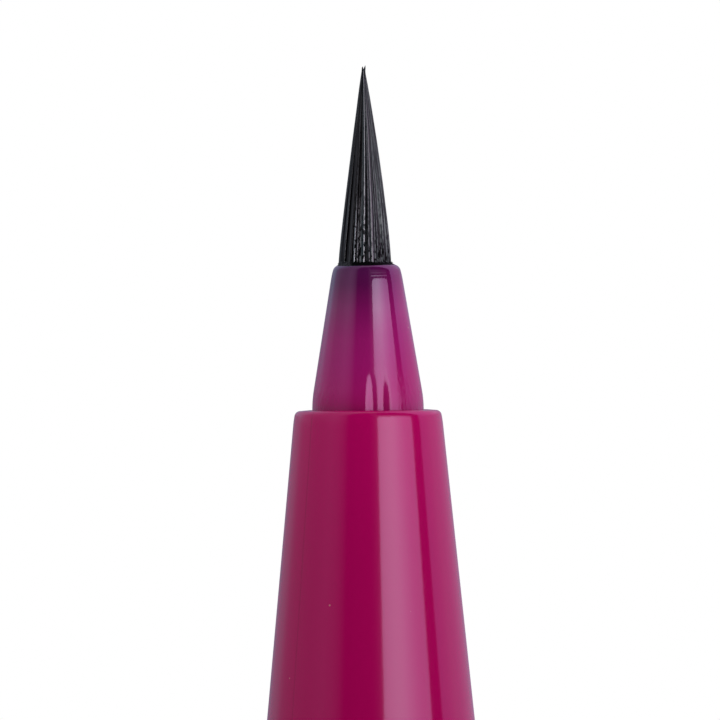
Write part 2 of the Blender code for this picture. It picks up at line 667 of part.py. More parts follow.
def collector_outline():
    """Half section of the collector: rear flange, seal groove, comb of fins, front plate and stem."""
    bore_flat = COLLECTOR_BORE_RADIUS * math.cos(math.pi / TURN_SIDES)
    flange = bore_flat - SEAT_GAP
    fin = bore_flat - FIN_CLEARANCE
    core = COLLECTOR_CORE_RADIUS
    groove_core = SEAL_RADIUS - SEAL_WIRE_RADIUS - SEAL_GAP
    groove_length = 2 * (SEAL_WIRE_RADIUS + SEAL_GAP)
    groove_z = COLLECTOR_REAR_Z + COLLECTOR_FLANGE_THICKNESS
    comb_z = groove_z + groove_length + COLLECTOR_PLATE_THICKNESS
    plate_z = COLLECTOR_FRONT_Z - COLLECTOR_PLATE_THICKNESS
    outline = [
        (FEED_BORE_RADIUS, COLLECTOR_REAR_Z),
        (flange, COLLECTOR_REAR_Z),
        (flange, groove_z),
        (groove_core, groove_z),
        (groove_core, groove_z + groove_length),
        (flange, groove_z + groove_length),
        (flange, comb_z),
    ]
    pitch = (plate_z - comb_z + FIN_THICKNESS) / (FIN_COUNT + 1)
    for index in range(FIN_COUNT):
        fin_z = comb_z - FIN_THICKNESS + pitch * (index + 1)
        outline += [
            (core, fin_z - pitch + FIN_THICKNESS),
            (core, fin_z),
            (fin, fin_z),
            (fin, fin_z + FIN_THICKNESS),
        ]
    stem_end_z = NOSE_REAR_Z - FACE_GAP
    outline += [
        (core, plate_z - pitch + FIN_THICKNESS),
        (core, plate_z),
        (flange, plate_z),
        (flange, COLLECTOR_FRONT_Z),
        (COLLECTOR_STEM_RADIUS, COLLECTOR_FRONT_Z),
        (COLLECTOR_STEM_RADIUS, stem_end_z),
        (FEED_BORE_RADIUS, stem_end_z),
    ]
    return outline, comb_z


def make_collector(finish):
    outline, comb_z = collector_outline()
    comb = turned("collector", outline, finish, sides=COMB_SIDES)
    outer = COLLECTOR_BORE_RADIUS + CUT_OVERRUN
    slit_half = INK_SLIT_WIDTH / 2
    slot_half = AIR_SLOT_WIDTH / 2
    slit_inner = (FEED_BORE_RADIUS + COLLECTOR_CORE_RADIUS) / 2
    plate_middle_z = COLLECTOR_FRONT_Z - COLLECTOR_PLATE_THICKNESS / 2
    shape = bmesh.new()
    add_box(
        shape,
        (slit_inner, -slit_half, comb_z - COLLECTOR_PLATE_THICKNESS / 2),
        (outer, slit_half, plate_middle_z),
    )
    add_box(
        shape,
        (-outer, -slot_half, comb_z),
        (-AIR_SLOT_FLOOR_RADIUS, slot_half, COLLECTOR_FRONT_Z + CUT_OVERRUN),
    )
    use_as_tool(comb, add_object("comb_cutter", shape, finish), "DIFFERENCE")
    return comb


def make_collector_seal(finish):
    middle_z = COLLECTOR_REAR_Z + COLLECTOR_FLANGE_THICKNESS + SEAL_WIRE_RADIUS + SEAL_GAP
    outline = []
    for step in range(SEAL_SIDES):
        angle = math.tau * step / SEAL_SIDES
        outline.append(
            (SEAL_RADIUS + SEAL_WIRE_RADIUS * math.cos(angle), middle_z + SEAL_WIRE_RADIUS * math.sin(angle))
        )
    return turned("collector_seal", outline, finish)


def build_pen():
    remove_scene_objects()
    magenta = make_material("magenta_plastic", (0.27, 0.0, 0.075), 0.12)
    nose_plastic = make_material("nose_plastic", (0.22, 0.004, 0.08), 0.12)
    natural = make_material("natural_plastic", (0.75, 0.74, 0.70), 0.35)
    soft_white = make_material("soft_white_plastic", (0.80, 0.80, 0.78), 0.40)
    hair = make_material("black_hair", (0.02, 0.02, 0.022), 0.35)
    fibre = make_material("feed_fibre", (0.05, 0.05, 0.055), 0.85)
    rubber = make_material("seal_rubber", (0.03, 0.03, 0.03), 0.70)
    steel = make_material("steel", (0.62, 0.62, 0.63), 0.22, 1.0)
    make_cap_shell(magenta)
    make_inner_cap(soft_white)
    make_inner_cap_spring(steel)
    make_barrel(magenta)
    make_tail_post(magenta)
    make_tail_stopper(soft_white)
    make_mixing_ball(steel)
    make_front_section(magenta)
    make_nose_cone(nose_plastic)
    make_brush_sleeve(natural)
    make_brush_tuft(hair)
    make_feed_rod(fibre)
    make_collector(natural)
    make_collector_seal(rubber)


build_pen()
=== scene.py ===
"""Looks of a brush-tip liquid eyeliner pen that stands on its posted cap.

Metres, with +Z towards the tip of the brush and -Y towards the viewer. Levels come from the frame's own
pieces.
"""

import math
import random

import bmesh
import bpy
from mathutils import Matrix, Vector, noise


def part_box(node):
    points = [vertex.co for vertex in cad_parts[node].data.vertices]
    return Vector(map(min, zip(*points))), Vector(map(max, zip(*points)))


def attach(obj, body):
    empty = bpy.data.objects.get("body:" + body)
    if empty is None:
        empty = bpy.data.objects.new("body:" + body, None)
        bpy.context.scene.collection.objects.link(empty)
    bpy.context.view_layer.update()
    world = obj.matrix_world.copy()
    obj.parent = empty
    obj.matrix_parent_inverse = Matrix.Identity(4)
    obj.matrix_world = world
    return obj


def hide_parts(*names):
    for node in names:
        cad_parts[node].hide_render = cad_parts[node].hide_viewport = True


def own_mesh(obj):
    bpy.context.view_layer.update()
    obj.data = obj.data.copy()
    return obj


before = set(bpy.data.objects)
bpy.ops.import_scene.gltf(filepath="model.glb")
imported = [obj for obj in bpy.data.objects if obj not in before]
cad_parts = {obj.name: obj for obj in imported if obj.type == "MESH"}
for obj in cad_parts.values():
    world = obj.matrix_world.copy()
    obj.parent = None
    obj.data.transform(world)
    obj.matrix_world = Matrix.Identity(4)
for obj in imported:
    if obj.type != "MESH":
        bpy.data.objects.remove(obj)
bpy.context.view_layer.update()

# Levels of the pieces at rest
CAP_RIM_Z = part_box("cap_shell")[1].z
POST_END_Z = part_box("tail_post")[0].z
SPIGOT_END_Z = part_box("tail_post")[1].z
BARREL_REAR_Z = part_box("barrel")[0].z
BARREL_FRONT_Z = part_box("barrel")[1].z
SECTION_REAR_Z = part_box("front_section")[0].z
SECTION_FRONT_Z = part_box("front_section")[1].z
NOSE_REAR_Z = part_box("nose_cone")[0].z
NOSE_TIP_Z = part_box("nose_cone")[1].z
BUTT_REAR_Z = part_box("brush_tuft")[0].z
BRUSH_TIP_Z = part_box("brush_tuft")[1].z

# Cap, barrel and tail post
SEAT_GAP = 0.00003
FACE_GAP = 0.00004
SLIDE_GAP = 0.00006
BODY_RADIUS = 0.0050
EDGE_ROUND = 0.00015
CAP_END_ROUND = 0.0008
CAP_RIM_ROUND = 0.00012
CAP_END_THICKNESS = 0.0012
CAP_BORE_RADIUS = 0.0040
CAP_FIT_MARGIN = 0.0005
CAP_LEAD_LENGTH = 0.0010
CAP_RIDGE_FROM_RIM = 0.0182
CAP_RIDGE_LENGTH = 0.0004
CAP_RIDGE_HEIGHT = 0.00025
SPRING_BOSS_RADIUS = 0.0018
SPRING_BOSS_LENGTH = 0.0011
SPRING_BOSS_GAP = 0.00015
SPRING_WIRE_RADIUS = 0.0002
SPRING_WIRE_SIDES = 12
SPRING_TURNS = 4
SPRING_STEPS_A_TURN = 48
SPRING_SMOOTH_ANGLE = math.radians(60)
BARREL_BORE_RADIUS = 0.0041
FIT_RADIUS = 0.00425
BEAD_HEIGHT = 0.00004
BEAD_LENGTH = 0.0006
BEAD_FROM_SHOULDER = 0.0022
POST_WALL = 0.0008
POST_END_THICKNESS = 0.0010
POST_END_ROUND = 0.0005

# Front section and nose cone
NECK_LENGTH = 0.0070
SECTION_FRONT_RADIUS = 0.00283
SECTION_FRONT_ROUND = 0.00021
SECTION_EDGE_SAG = 0.000028
SECTION_EDGE_SAG_LENGTH = 0.00030
SECTION_END_SLOPE = 0.00003
NOSE_SEAT_DEPTH = 0.0037
NOSE_FLANGE_RADIUS = 0.00265
COLLECTOR_BORE_RADIUS = 0.00315
COLLECTOR_SHOULDER_DEPTH = 0.0098
COLLECTOR_SHOULDER_SLOPE = 0.0009
COLLECTOR_WAIST_RADIUS = 0.00205
NOSE_BASE_RADIUS = 0.002145
NOSE_TIP_RADIUS = 0.001285
NOSE_LIP_ROUND = 0.000215
NOSE_LIP_SAG = 0.000038
NOSE_LIP_SAG_LENGTH = 0.00028
NOSE_BLEND_LENGTH = 0.00075
NOSE_MOUTH_RADIUS = 0.001025
SLEEVE_BORE_RADIUS = 0.00142
SLEEVE_DEPTH = 0.0030
VENT_TURN = math.radians(10.6)
VENT_COUNT = 2
VENT_WIDTH = 0.00106
VENT_RIB_FOOT = 0.000385
VENT_WALL_SLOPE = 0.38
VENT_RIB_SLOPE = 0.13
VENT_LENGTH = 0.00156
VENT_FADE_POWER = 2.2
VENT_POINT_POWER = 2.4

# Brush
TUFT_RADIUS = 0.001018
TUFT_BUTT_RADIUS = 0.00104
TUFT_BUTT_LENGTH = 0.0006
TUFT_OUTLINE_POWER = 1.2
TUFT_OUTLINE_FALL = 0.95
TUFT_LEAN = -0.000075
TUFT_SWAY = 0.000040
TUFT_SWAY_SPAN = 1.1
TUFT_TIP_SPLIT = 0.000056
TUFT_TIP_BEND = 0.000035
TUFT_TIP_SPLIT_FROM = 0.974
TUFT_LEFT_TIP_SHARE = 0.993
TUFT_RIGHT_TIP_SHARE = 0.998
TUFT_RIGHT_TIP_FROM = -0.1
HAIR_SPACING = 0.000140
HAIR_RADIUS = 0.000078
HAIR_FLATNESS = 0.60
HAIR_THINNING = 0.62
HAIR_THICKNESS = (0.82, 1.08)
HAIR_SHORTEST_SHARE = 0.66
HAIR_LENGTH_POWER = 0.4
HAIR_POINT_SHARE = 0.09
HAIR_POINT_WIDTH = 0.25
HAIR_POINT_MIDDLE = 0.3
HAIR_WANDER = 0.000014
HAIR_WANDER_WAVES = 6
HAIR_WANDER_FADE = 0.8
HAIR_WANDER_PLACES = 1000
HAIR_SCATTER = 0.25
HAIR_ROOT_SINK = 0.05
HAIR_ROOT_SINK_POWER = 4
INNER_HAIR_REACH = 0.3
INNER_HAIR_LENGTH_SPREAD = 0.04
MIDDLE_HAIR_REACH = 0.15
CENTRE_HAIR_REACH = 0.05
# Rings of clumps: how many clumps there are, and the ring's share of the radius
HAIR_CLUMP_RINGS = ((20, 0.94), (10, 0.62), (5, 0.28))
HAIR_CLUMP_SCATTER = 0.3
HAIR_CLUMP_PULL = 0.40
HAIR_CLUMP_PULL_AT_ROOT = 0.25
HAIR_CLUMP_PULL_RATE = 2.2
HAIR_CLUMP_SINK = 0.030
HAIR_CLUMP_SINK_POWER = 1.5
HAIR_STATIONS = 11
HAIR_SIDES = 8
HAIR_SMOOTH_ANGLE = math.radians(120)
HAIR_SEED = 11
HAIR_WETNESS_AND_GLINT = 0.45
PROUD_HAIR_REACH = 1.018
PROUD_HAIR_END = 0.93
# Proud hairs, some of them two under one film: degrees round from the front, girth, flatness and wetness,
# which also paints a pale glint into the hair's colour
PROUD_HAIRS = (
    (-25.0, 0.48, 0.90, 2.3), (-17.3, 0.50, 0.90, 1.3), (-10.8, 0.42, 0.90, 1.2), (-4.9, 1.30, 0.40, 0.8),
    (9.2, 0.75, 0.70, 0.6), (16.4, 1.35, 0.40, 0.6), (24.1, 0.60, 0.70, 0.4), (31.4, 0.80, 0.60, 0.5),
    (37.5, 0.90, 0.60, 0.3), (48.8, 0.70, 0.70, 0.3), (61.0, 0.80, 0.70, 0.3), (74.0, 1.10, 0.50, 0.3),
    (93.0, 0.80, 0.70, 0.8), (104.0, 1.20, 0.45, 0.7), (121.0, 0.80, 0.70, 0.9), (139.0, 1.30, 0.45, 0.8),
    (152.0, 0.70, 0.80, 0.7), (167.0, 1.00, 0.60, 1.0), (188.0, 1.40, 0.40, 0.8), (203.0, 0.80, 0.70, 0.7),
    (219.0, 0.90, 0.60, 0.9), (236.0, 1.30, 0.45, 0.7), (255.0, 0.80, 0.70, 0.8), (279.0, 0.90, 0.60, 0.5),
    (306.0, 0.80, 0.70, 0.3),
)
STRAY_COUNT = 30
STRAY_ROOT_RADIUS = 0.00100
STRAY_LENGTH = 0.00007
STRAY_LENGTH_SHARES = (0.3, 1.0)
STRAY_RADIUS = 0.000018
STRAY_TIP_SHARE = 0.4
STRAY_BEND_SHARE = 0.4
STRAY_BEND_RISE = 0.3
STRAY_RISE = (-0.1, 0.8)
STRAY_FLATNESS = 0.8
STRAY_LONG_TURN = 0.7
STRAY_LONG_RATIO = 2.2
BUTT_SIDES = 48

# Ink where the hairs leave the nose: its section as shares of its spread and height, and its unevenness
COLLAR_SIDES = 120
COLLAR_HEIGHT = 0.00016
COLLAR_SPREAD = 0.000060
COLLAR_SPREAD_FRONT = 0.000120
COLLAR_FRONT_POWER = 0.5
COLLAR_SPREAD_RIGHT = 0.000035
COLLAR_RIGHT_POWER = 1.5
COLLAR_HOLD_LEFT = 0.75
COLLAR_LEFT_POWER = 3
COLLAR_SINK = 0.000006
COLLAR_LEAN = 0.8
COLLAR_SECTION = ((-1.0, 1.0), (0.1, 0.5), (0.4, 0.2), (0.8, 0.08))
COLLAR_ROUGH_SCALE = 9.0
COLLAR_ROUGH_FROM = Vector((5.0, 0.0, 0.0))
COLLAR_FINE_SCALE = 34.0
COLLAR_ROUGH_SPREAD = 0.35
COLLAR_FINE_SPREAD = 0.25
COLLAR_ROUGH_HEIGHT = 0.4
COLLAR_FINE_HEIGHT = 0.5
LIP_NARROWING = 0.93

# Fineness
FINE_SIDES = 160
NOSE_SIDES = 480
NOSE_ROWS = 72
NOSE_MOUTH_STEPS = 3
ROUND_STEPS = 8
BALL_SUBDIVISIONS = 5
SMOOTH_ANGLE = math.radians(32)
MERGE_DISTANCE = 1e-8

# Finishes: features a metre in x, y and z, depths and widths in metres, and colours
SMEAR_SCALE = (260.0, 260.0, 110.0)
SKIN_SCALE = (5200.0, 5200.0, 3600.0)
TINT_SCALE = (700.0, 700.0, 250.0)
TINT_CHANGE = 0.05
CLOUD_SCALE = (900.0, 900.0, 500.0)
SCUFF_SCALE = (11000.0, 11000.0, 2600.0)
SCUFF_FROM_MIDDLE = (0.00100, 0.00135)
HAIR_LINE_SCALE = (13000.0, 13000.0, 380.0)
HAIR_CRACK_SCALE = (14000.0, 14000.0, 4800.0)
FIBRE_SCALE = (24000.0, 24000.0, 900.0)
RUBBER_SCALE = (9000.0, 9000.0, 9000.0)
BALL_SCALE = (6000.0, 9000.0, 6000.0)
WIRE_SCALE = (9000.0, 9000.0, 30000.0)
GLOSS_RELIEF = 0.000004
MOULDED_RELIEF = 0.000003
HAIR_RELIEF = 0.000020
FIBRE_RELIEF = 0.000010
RUBBER_RELIEF = 0.000004
STEEL_RELIEF = 0.000001
PLASTIC_IOR = 1.46
GLOW_DEPTHS = (0.0006, 0.0005, 0.0004)
SEAM_TURN = math.radians(-49)
SEAM_WIDTH = 0.000028
SEAM_COLOUR = (0.11, 0.0, 0.025)
SEAM_TINT = 0.30
SEAM_STEP = 0.5
DUST_COLOUR = (0.55, 0.30, 0.25)
DUST_TINT = 0.4
NATURAL_COLOURS = ((0.3, (0.70, 0.69, 0.65)), (0.7, (0.78, 0.77, 0.73)))
SOFT_WHITE_COLOURS = ((0.3, (0.78, 0.78, 0.76)), (0.7, (0.84, 0.84, 0.82)))
FIBRE_COLOURS = ((0.35, (0.012, 0.012, 0.014)), (0.7, (0.07, 0.07, 0.075)))
RUBBER_COLOURS = ((0.3, (0.012, 0.012, 0.012)), (0.7, (0.028, 0.028, 0.028)))
STEEL_COLOURS = ((0.3, (0.52, 0.52, 0.54)), (0.7, (0.66, 0.66, 0.67)))
SHELL_FADE_LENGTH = 0.01198
SHELL_COLOURS = ((0.0, (0.315, 0.0003, 0.072)), (0.55, (0.335, 0.0003, 0.078)), (1.0, (0.375, 0.0004, 0.090)))
SHELL_TINT = (0.90, 0.67, 1.0)
NOSE_COLOURS = (
    (0.0, (0.325, 0.004, 0.112)),
    (0.31, (0.290, 0.006, 0.122)),
    (0.48, (0.265, 0.007, 0.118)),
    (0.69, (0.175, 0.005, 0.090)),
    (0.86, (0.085, 0.004, 0.058)),
    (1.0, (0.062, 0.006, 0.056)),
)
NOSE_TINT = (0.90, 0.61, 0.95)
# Shares of the nose's height and the weight of the film there
NOSE_SHEEN = ((0.0, 0.02), (0.35, 0.06), (0.52, 0.14), (0.70, 0.40), (0.86, 0.26), (1.0, 0.12))
# Shares of the nose's height and the roughness there, which is dulled at the foot by the inner cap
NOSE_WEAR = ((0.0, 0.17), (0.18, 0.13), (0.45, 0.080), (0.70, 0.055), (1.0, 0.045))
# Colours of the hairs from black up: the paler ones are painted light, and the warm top one is a painted
# glint
HAIR_PAINTED_TONES = (
    (0.0, (0.0014, 0.0014, 0.0016)),
    (0.25, (0.018, 0.0168, 0.021)),
    (0.45, (0.040, 0.043, 0.049)),
    (0.70, (0.112, 0.122, 0.134)),
    (1.0, (0.310, 0.320, 0.310)),
)
# Bluish colour of the painted reflection on the wet hairs
HAIR_PAINTED_COOL_CAST = (0.019, 0.026, 0.031)

# Masks of the wet hairs and of the nose's scuffs: the range that each reads and, unless it is 0 to 1, the
# range that it puts out. Those across read the place from -1 at the left to 1 at the right, those up read the
# share of the length, and those of lines read the fine lines along the hairs. Many of the hair masks paint
# light and shade into the hairs' colour.
# Painted shade: hairs that lie deeper than the tuft's outline lose colour and film, so the gaps go black
HAIR_PAINTED_GAP_SHADE_DEPTH = (0.000018, 0.000050, 1.0, 0.0)
# Painted shade: a black ring where the hairs leave the nose
HAIR_PAINTED_ROOT_SHADE_UP = (0.004, 0.015)
HAIR_CRACKS_LEAN = 0.045
HAIR_CRACKS_UP = (0.10, 0.80, 1.0, 0.15)
HAIR_CRACKS_ACROSS = (-0.75, -0.45, 0.10, 1.0)
HAIR_CALM_UP = (0.06, 0.16, 1.0, 0.40)
HAIR_CALM_ACROSS = (0.10, 0.35, 1.0, 0.0)
HAIR_TORN = (0.42, 0.46, 1.0, 0.0)
# Painted shade: a dark band a little left of the middle, weaker near the root
HAIR_PAINTED_BAND_LEFT = 0.31
HAIR_PAINTED_BAND_ACROSS = (0.10, 0.18, 1.0, 0.0)
HAIR_PAINTED_BAND_UP = (0.20, 0.36, 0.35, 0.92)
HAIR_FILM_LINES = (0.36, 0.48, 0.60, 1.0)
HAIR_FILM_ACROSS = (0.10, 0.60, 1.0, 0.36)
HAIR_FILM_UP = (0.30, 0.50, 1.0, 0.75)
# Painted light: paler streaks in the hairs' colour towards the right
HAIR_PAINTED_PALE_ACROSS = (0.05, 0.50)
HAIR_PAINTED_PALE_LINES = (0.40, 0.58, 0.25, 0.76)
HAIR_PAINTED_PALE_UP = (0.20, 0.60, 1.0, 0.90)
# Painted highlight: a pale base colour on the wettest hairs that stands for glints
HAIR_PAINTED_GLINT = 0.40
# Painted light: a grey tone in the hairs' colour at the far left
HAIR_PAINTED_LEFT_ACROSS = (-0.58, -0.46, 1.0, 0.0)
HAIR_PAINTED_LEFT_LINES = (0.40, 0.56, 0.12, 0.40)
# Painted reflection: a bluish cast on wet hairs from a little left of the middle rightwards
HAIR_PAINTED_COOL_WET = (0.30, 0.80)
HAIR_PAINTED_COOL_ACROSS = (-0.30, -0.15)
HAIR_ROUGHNESS_LINES = (0.35, 0.65, 0.42, 0.58)
HAIR_LINES_RELIEF = 0.15
SCUFF_UP = (0.16, 0.28, 1.0, 0.0)
SCUFF_MARKS = (0.44, 0.60)

# Camera: pixels of a square picture, pixels that a metre takes, and where the middle of the picture lies
PICTURE_SIDE = 720
PIXELS_A_METRE = 26000
VIEW_BELOW_NOSE_TIP = 0.00367
VIEW_SIDE_STEP = 0.00029
VIEW_TURN = math.radians(0.53)
VIEW_DISTANCE = 0.30
SENSOR_WIDTH = 36.0

# Studio
FLOOR_RADIUS = 1.2
FLOOR_SIDES = 96
FLOOR_GREY = 0.90
FLOOR_FADE = (0.22, 0.55)
CARD_RADIUS = 0.5
CARD_STEPS = 24
CARD_ENDS = (-35, 78)
EVEN_GLOW = ((0, 1.0), (60, 1.0))
BOX_TOP = 20.8
BOX_CORNER_FROM = 0.75
BOX_CORNER_ACROSS_POWER = 6.0
BOX_CORNER_UP_POWER = 3.0
BOX_CORNER_EDGE = (0.90, 1.0, 1.0, 0.0)
WORLD_LIGHT = 0.50
# Lamps: name, azimuth, elevation, distance, size and power
LAMPS = (
    ("key_softbox", 60, 20, 0.6, 0.5, 1.5),
    ("left_fill", -75, 15, 0.8, 0.6, 0.5),
    ("overhead_softbox", 0, 85, 1.0, 1.2, 4.2),
)


# Shapes of the pieces


def rounded(centre_radius, centre_z, size, start_degrees, end_degrees, steps=ROUND_STEPS):
    """Points of a round corner in the half plane, as (radius, z)."""
    points = []
    for step in range(steps + 1):
        angle = math.radians(start_degrees + (end_degrees - start_degrees) * step / steps)
        points.append((centre_radius + size * math.cos(angle), centre_z + size * math.sin(angle)))
    return points


def stepped(start, end, count):
    """Points on a straight line between two (radius, z) points, without its ends."""
    points = []
    for step in range(1, count):
        share = step / count
        points.append((start[0] + (end[0] - start[0]) * share, start[1] + (end[1] - start[1]) * share))
    return points


def sag(point, end_z, depth, length):
    """Draws a point of an outline in a little towards an end, as moulded edges do."""
    radius, level = point
    return (radius - depth * math.exp(-(((end_z - level) / length) ** 2)), level)


def spin_round(shape, parts, angle, steps, climb=0.0, merge=False):
    """Spins parts of a shape about the pen's axis, and lifts them by the climb at each step."""
    bmesh.ops.spin(
        shape,
        geom=parts,
        cent=(0.0, 0.0, 0.0),
        axis=(0.0, 0.0, 1.0),
        dvec=(0.0, 0.0, climb),
        angle=angle,
        steps=steps,
        use_merge=merge,
        use_duplicate=False,
    )


def turned_shape(outline, closed, sides):
    """Spins an outline of (radius, z) points about the axis into a bmesh."""
    shape = bmesh.new()
    corners = [shape.verts.new((0.0, -radius, level)) for radius, level in outline]
    edges = [shape.edges.new(pair) for pair in zip(corners, corners[1:])]
    if closed:
        edges.append(shape.edges.new((corners[-1], corners[0])))
    spin_round(shape, corners + edges, math.tau, sides, merge=True)
    bmesh.ops.remove_doubles(shape, verts=shape.verts, dist=MERGE_DISTANCE)
    bmesh.ops.recalc_face_normals(shape, faces=shape.faces)
    return shape


def add_piece(name, shape, finish, smooth_angle=SMOOTH_ANGLE):
    """Makes an object of a bmesh, with its round sides shaded smooth."""
    mesh = bpy.data.meshes.new(name)
    shape.to_mesh(mesh)
    shape.free()
    mesh.shade_smooth()
    mesh.set_sharp_from_angle(angle=smooth_angle)
    mesh.materials.append(finish)
    piece = bpy.data.objects.new(name, mesh)
    bpy.context.scene.collection.objects.link(piece)
    return piece


def grip_bead(shoulder_z, towards):
    """Outline of the low round bead that holds the cap, away from the shoulder."""
    middle = shoulder_z + towards * BEAD_FROM_SHOULDER
    points = []
    for step in range(ROUND_STEPS + 1):
        share = 2 * step / ROUND_STEPS - 1
        rise = BEAD_HEIGHT * (math.cos(math.pi * share) + 1) / 2
        points.append((FIT_RADIUS + rise, middle + towards * share * BEAD_LENGTH / 2))
    return points


def make_cap(finish):
    fit = FIT_RADIUS + SLIDE_GAP
    lead_z = POST_END_Z - CAP_FIT_MARGIN
    ridge_top_z = CAP_RIM_Z - CAP_RIDGE_FROM_RIM
    ridge_bottom_z = ridge_top_z - CAP_RIDGE_LENGTH - 2 * CAP_RIDGE_HEIGHT
    ridge = CAP_BORE_RADIUS - CAP_RIDGE_HEIGHT
    outline = [(0.0, 0.0)]
    outline += rounded(BODY_RADIUS - CAP_END_ROUND, CAP_END_ROUND, CAP_END_ROUND, -90, 0)
    outline += rounded(BODY_RADIUS - CAP_RIM_ROUND, CAP_RIM_Z - CAP_RIM_ROUND, CAP_RIM_ROUND, 0, 90)
    outline += rounded(fit + CAP_RIM_ROUND, CAP_RIM_Z - CAP_RIM_ROUND, CAP_RIM_ROUND, 90, 180)
    outline += [
        (fit, lead_z),
        (CAP_BORE_RADIUS, lead_z - CAP_LEAD_LENGTH),
        (CAP_BORE_RADIUS, ridge_top_z),
        (ridge, ridge_top_z - CAP_RIDGE_HEIGHT),
        (ridge, ridge_bottom_z + CAP_RIDGE_HEIGHT),
        (CAP_BORE_RADIUS, ridge_bottom_z),
        (CAP_BORE_RADIUS, CAP_END_THICKNESS),
        (SPRING_BOSS_RADIUS, CAP_END_THICKNESS),
        (SPRING_BOSS_RADIUS, CAP_END_THICKNESS + SPRING_BOSS_LENGTH),
        (0.0, CAP_END_THICKNESS + SPRING_BOSS_LENGTH),
    ]
    cap = add_piece("outer_cap", turned_shape(outline, False, FINE_SIDES), finish)
    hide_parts("cap_shell")
    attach(cap, "cap")


def make_spring(finish):
    """Open coil that shortens towards the cap's end as the inner cap is pressed."""
    low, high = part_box("inner_cap_spring")
    reach = SPRING_BOSS_RADIUS + SPRING_BOSS_GAP + SPRING_WIRE_RADIUS
    start = Vector((reach, 0.0, low.z + SPRING_WIRE_RADIUS))
    climb = high.z - low.z - 2 * SPRING_WIRE_RADIUS
    steps = SPRING_TURNS * SPRING_STEPS_A_TURN
    shape = bmesh.new()
    bmesh.ops.create_circle(
        shape,
        cap_ends=True,
        segments=SPRING_WIRE_SIDES,
        radius=SPRING_WIRE_RADIUS,
        matrix=Matrix.Translation(start) @ Matrix.Rotation(math.pi / 2, 4, "X"),
    )
    wire_end = shape.verts[:] + shape.edges[:] + shape.faces[:]
    spin_round(shape, wire_end, math.tau * SPRING_TURNS, steps, climb=climb / steps)
    bmesh.ops.recalc_face_normals(shape, faces=shape.faces)
    spring = add_piece("coil_spring", shape, finish, SPRING_SMOOTH_ANGLE)
    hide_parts("inner_cap_spring")
    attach(spring, "cap")
    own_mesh(spring)


def make_barrel(finish):
    ring = BODY_RADIUS - EDGE_ROUND
    outline = rounded(ring, BARREL_REAR_Z + EDGE_ROUND, EDGE_ROUND, -90, 0)
    outline += rounded(ring, BARREL_FRONT_Z - EDGE_ROUND, EDGE_ROUND, 0, 90)
    outline += [(BARREL_BORE_RADIUS, BARREL_FRONT_Z), (BARREL_BORE_RADIUS, BARREL_REAR_Z)]
    barrel = add_piece("barrel_tube", turned_shape(outline, True, FINE_SIDES), finish)
    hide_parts("barrel")
    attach(barrel, "pen")


def make_tail_post(finish):
    spigot = BARREL_BORE_RADIUS - SEAT_GAP
    bore = spigot - POST_WALL
    shoulder_z = BARREL_REAR_Z - FACE_GAP
    floor_z = POST_END_Z + POST_END_THICKNESS
    outline = [(0.0, POST_END_Z)]
    outline += rounded(FIT_RADIUS - POST_END_ROUND, POST_END_Z + POST_END_ROUND, POST_END_ROUND, -90, 0)
    outline += reversed(grip_bead(shoulder_z, -1))
    outline += [
        (FIT_RADIUS, shoulder_z),
        (spigot, shoulder_z),
        (spigot, SPIGOT_END_Z - EDGE_ROUND),
        (spigot - EDGE_ROUND, SPIGOT_END_Z),
        (bore, SPIGOT_END_Z),
        (bore, floor_z + POST_END_ROUND),
        (bore - POST_END_ROUND, floor_z),
        (0.0, floor_z),
    ]
    post = add_piece("tail_plug_and_post", turned_shape(outline, False, FINE_SIDES), finish)
    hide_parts("tail_post")
    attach(post, "pen")


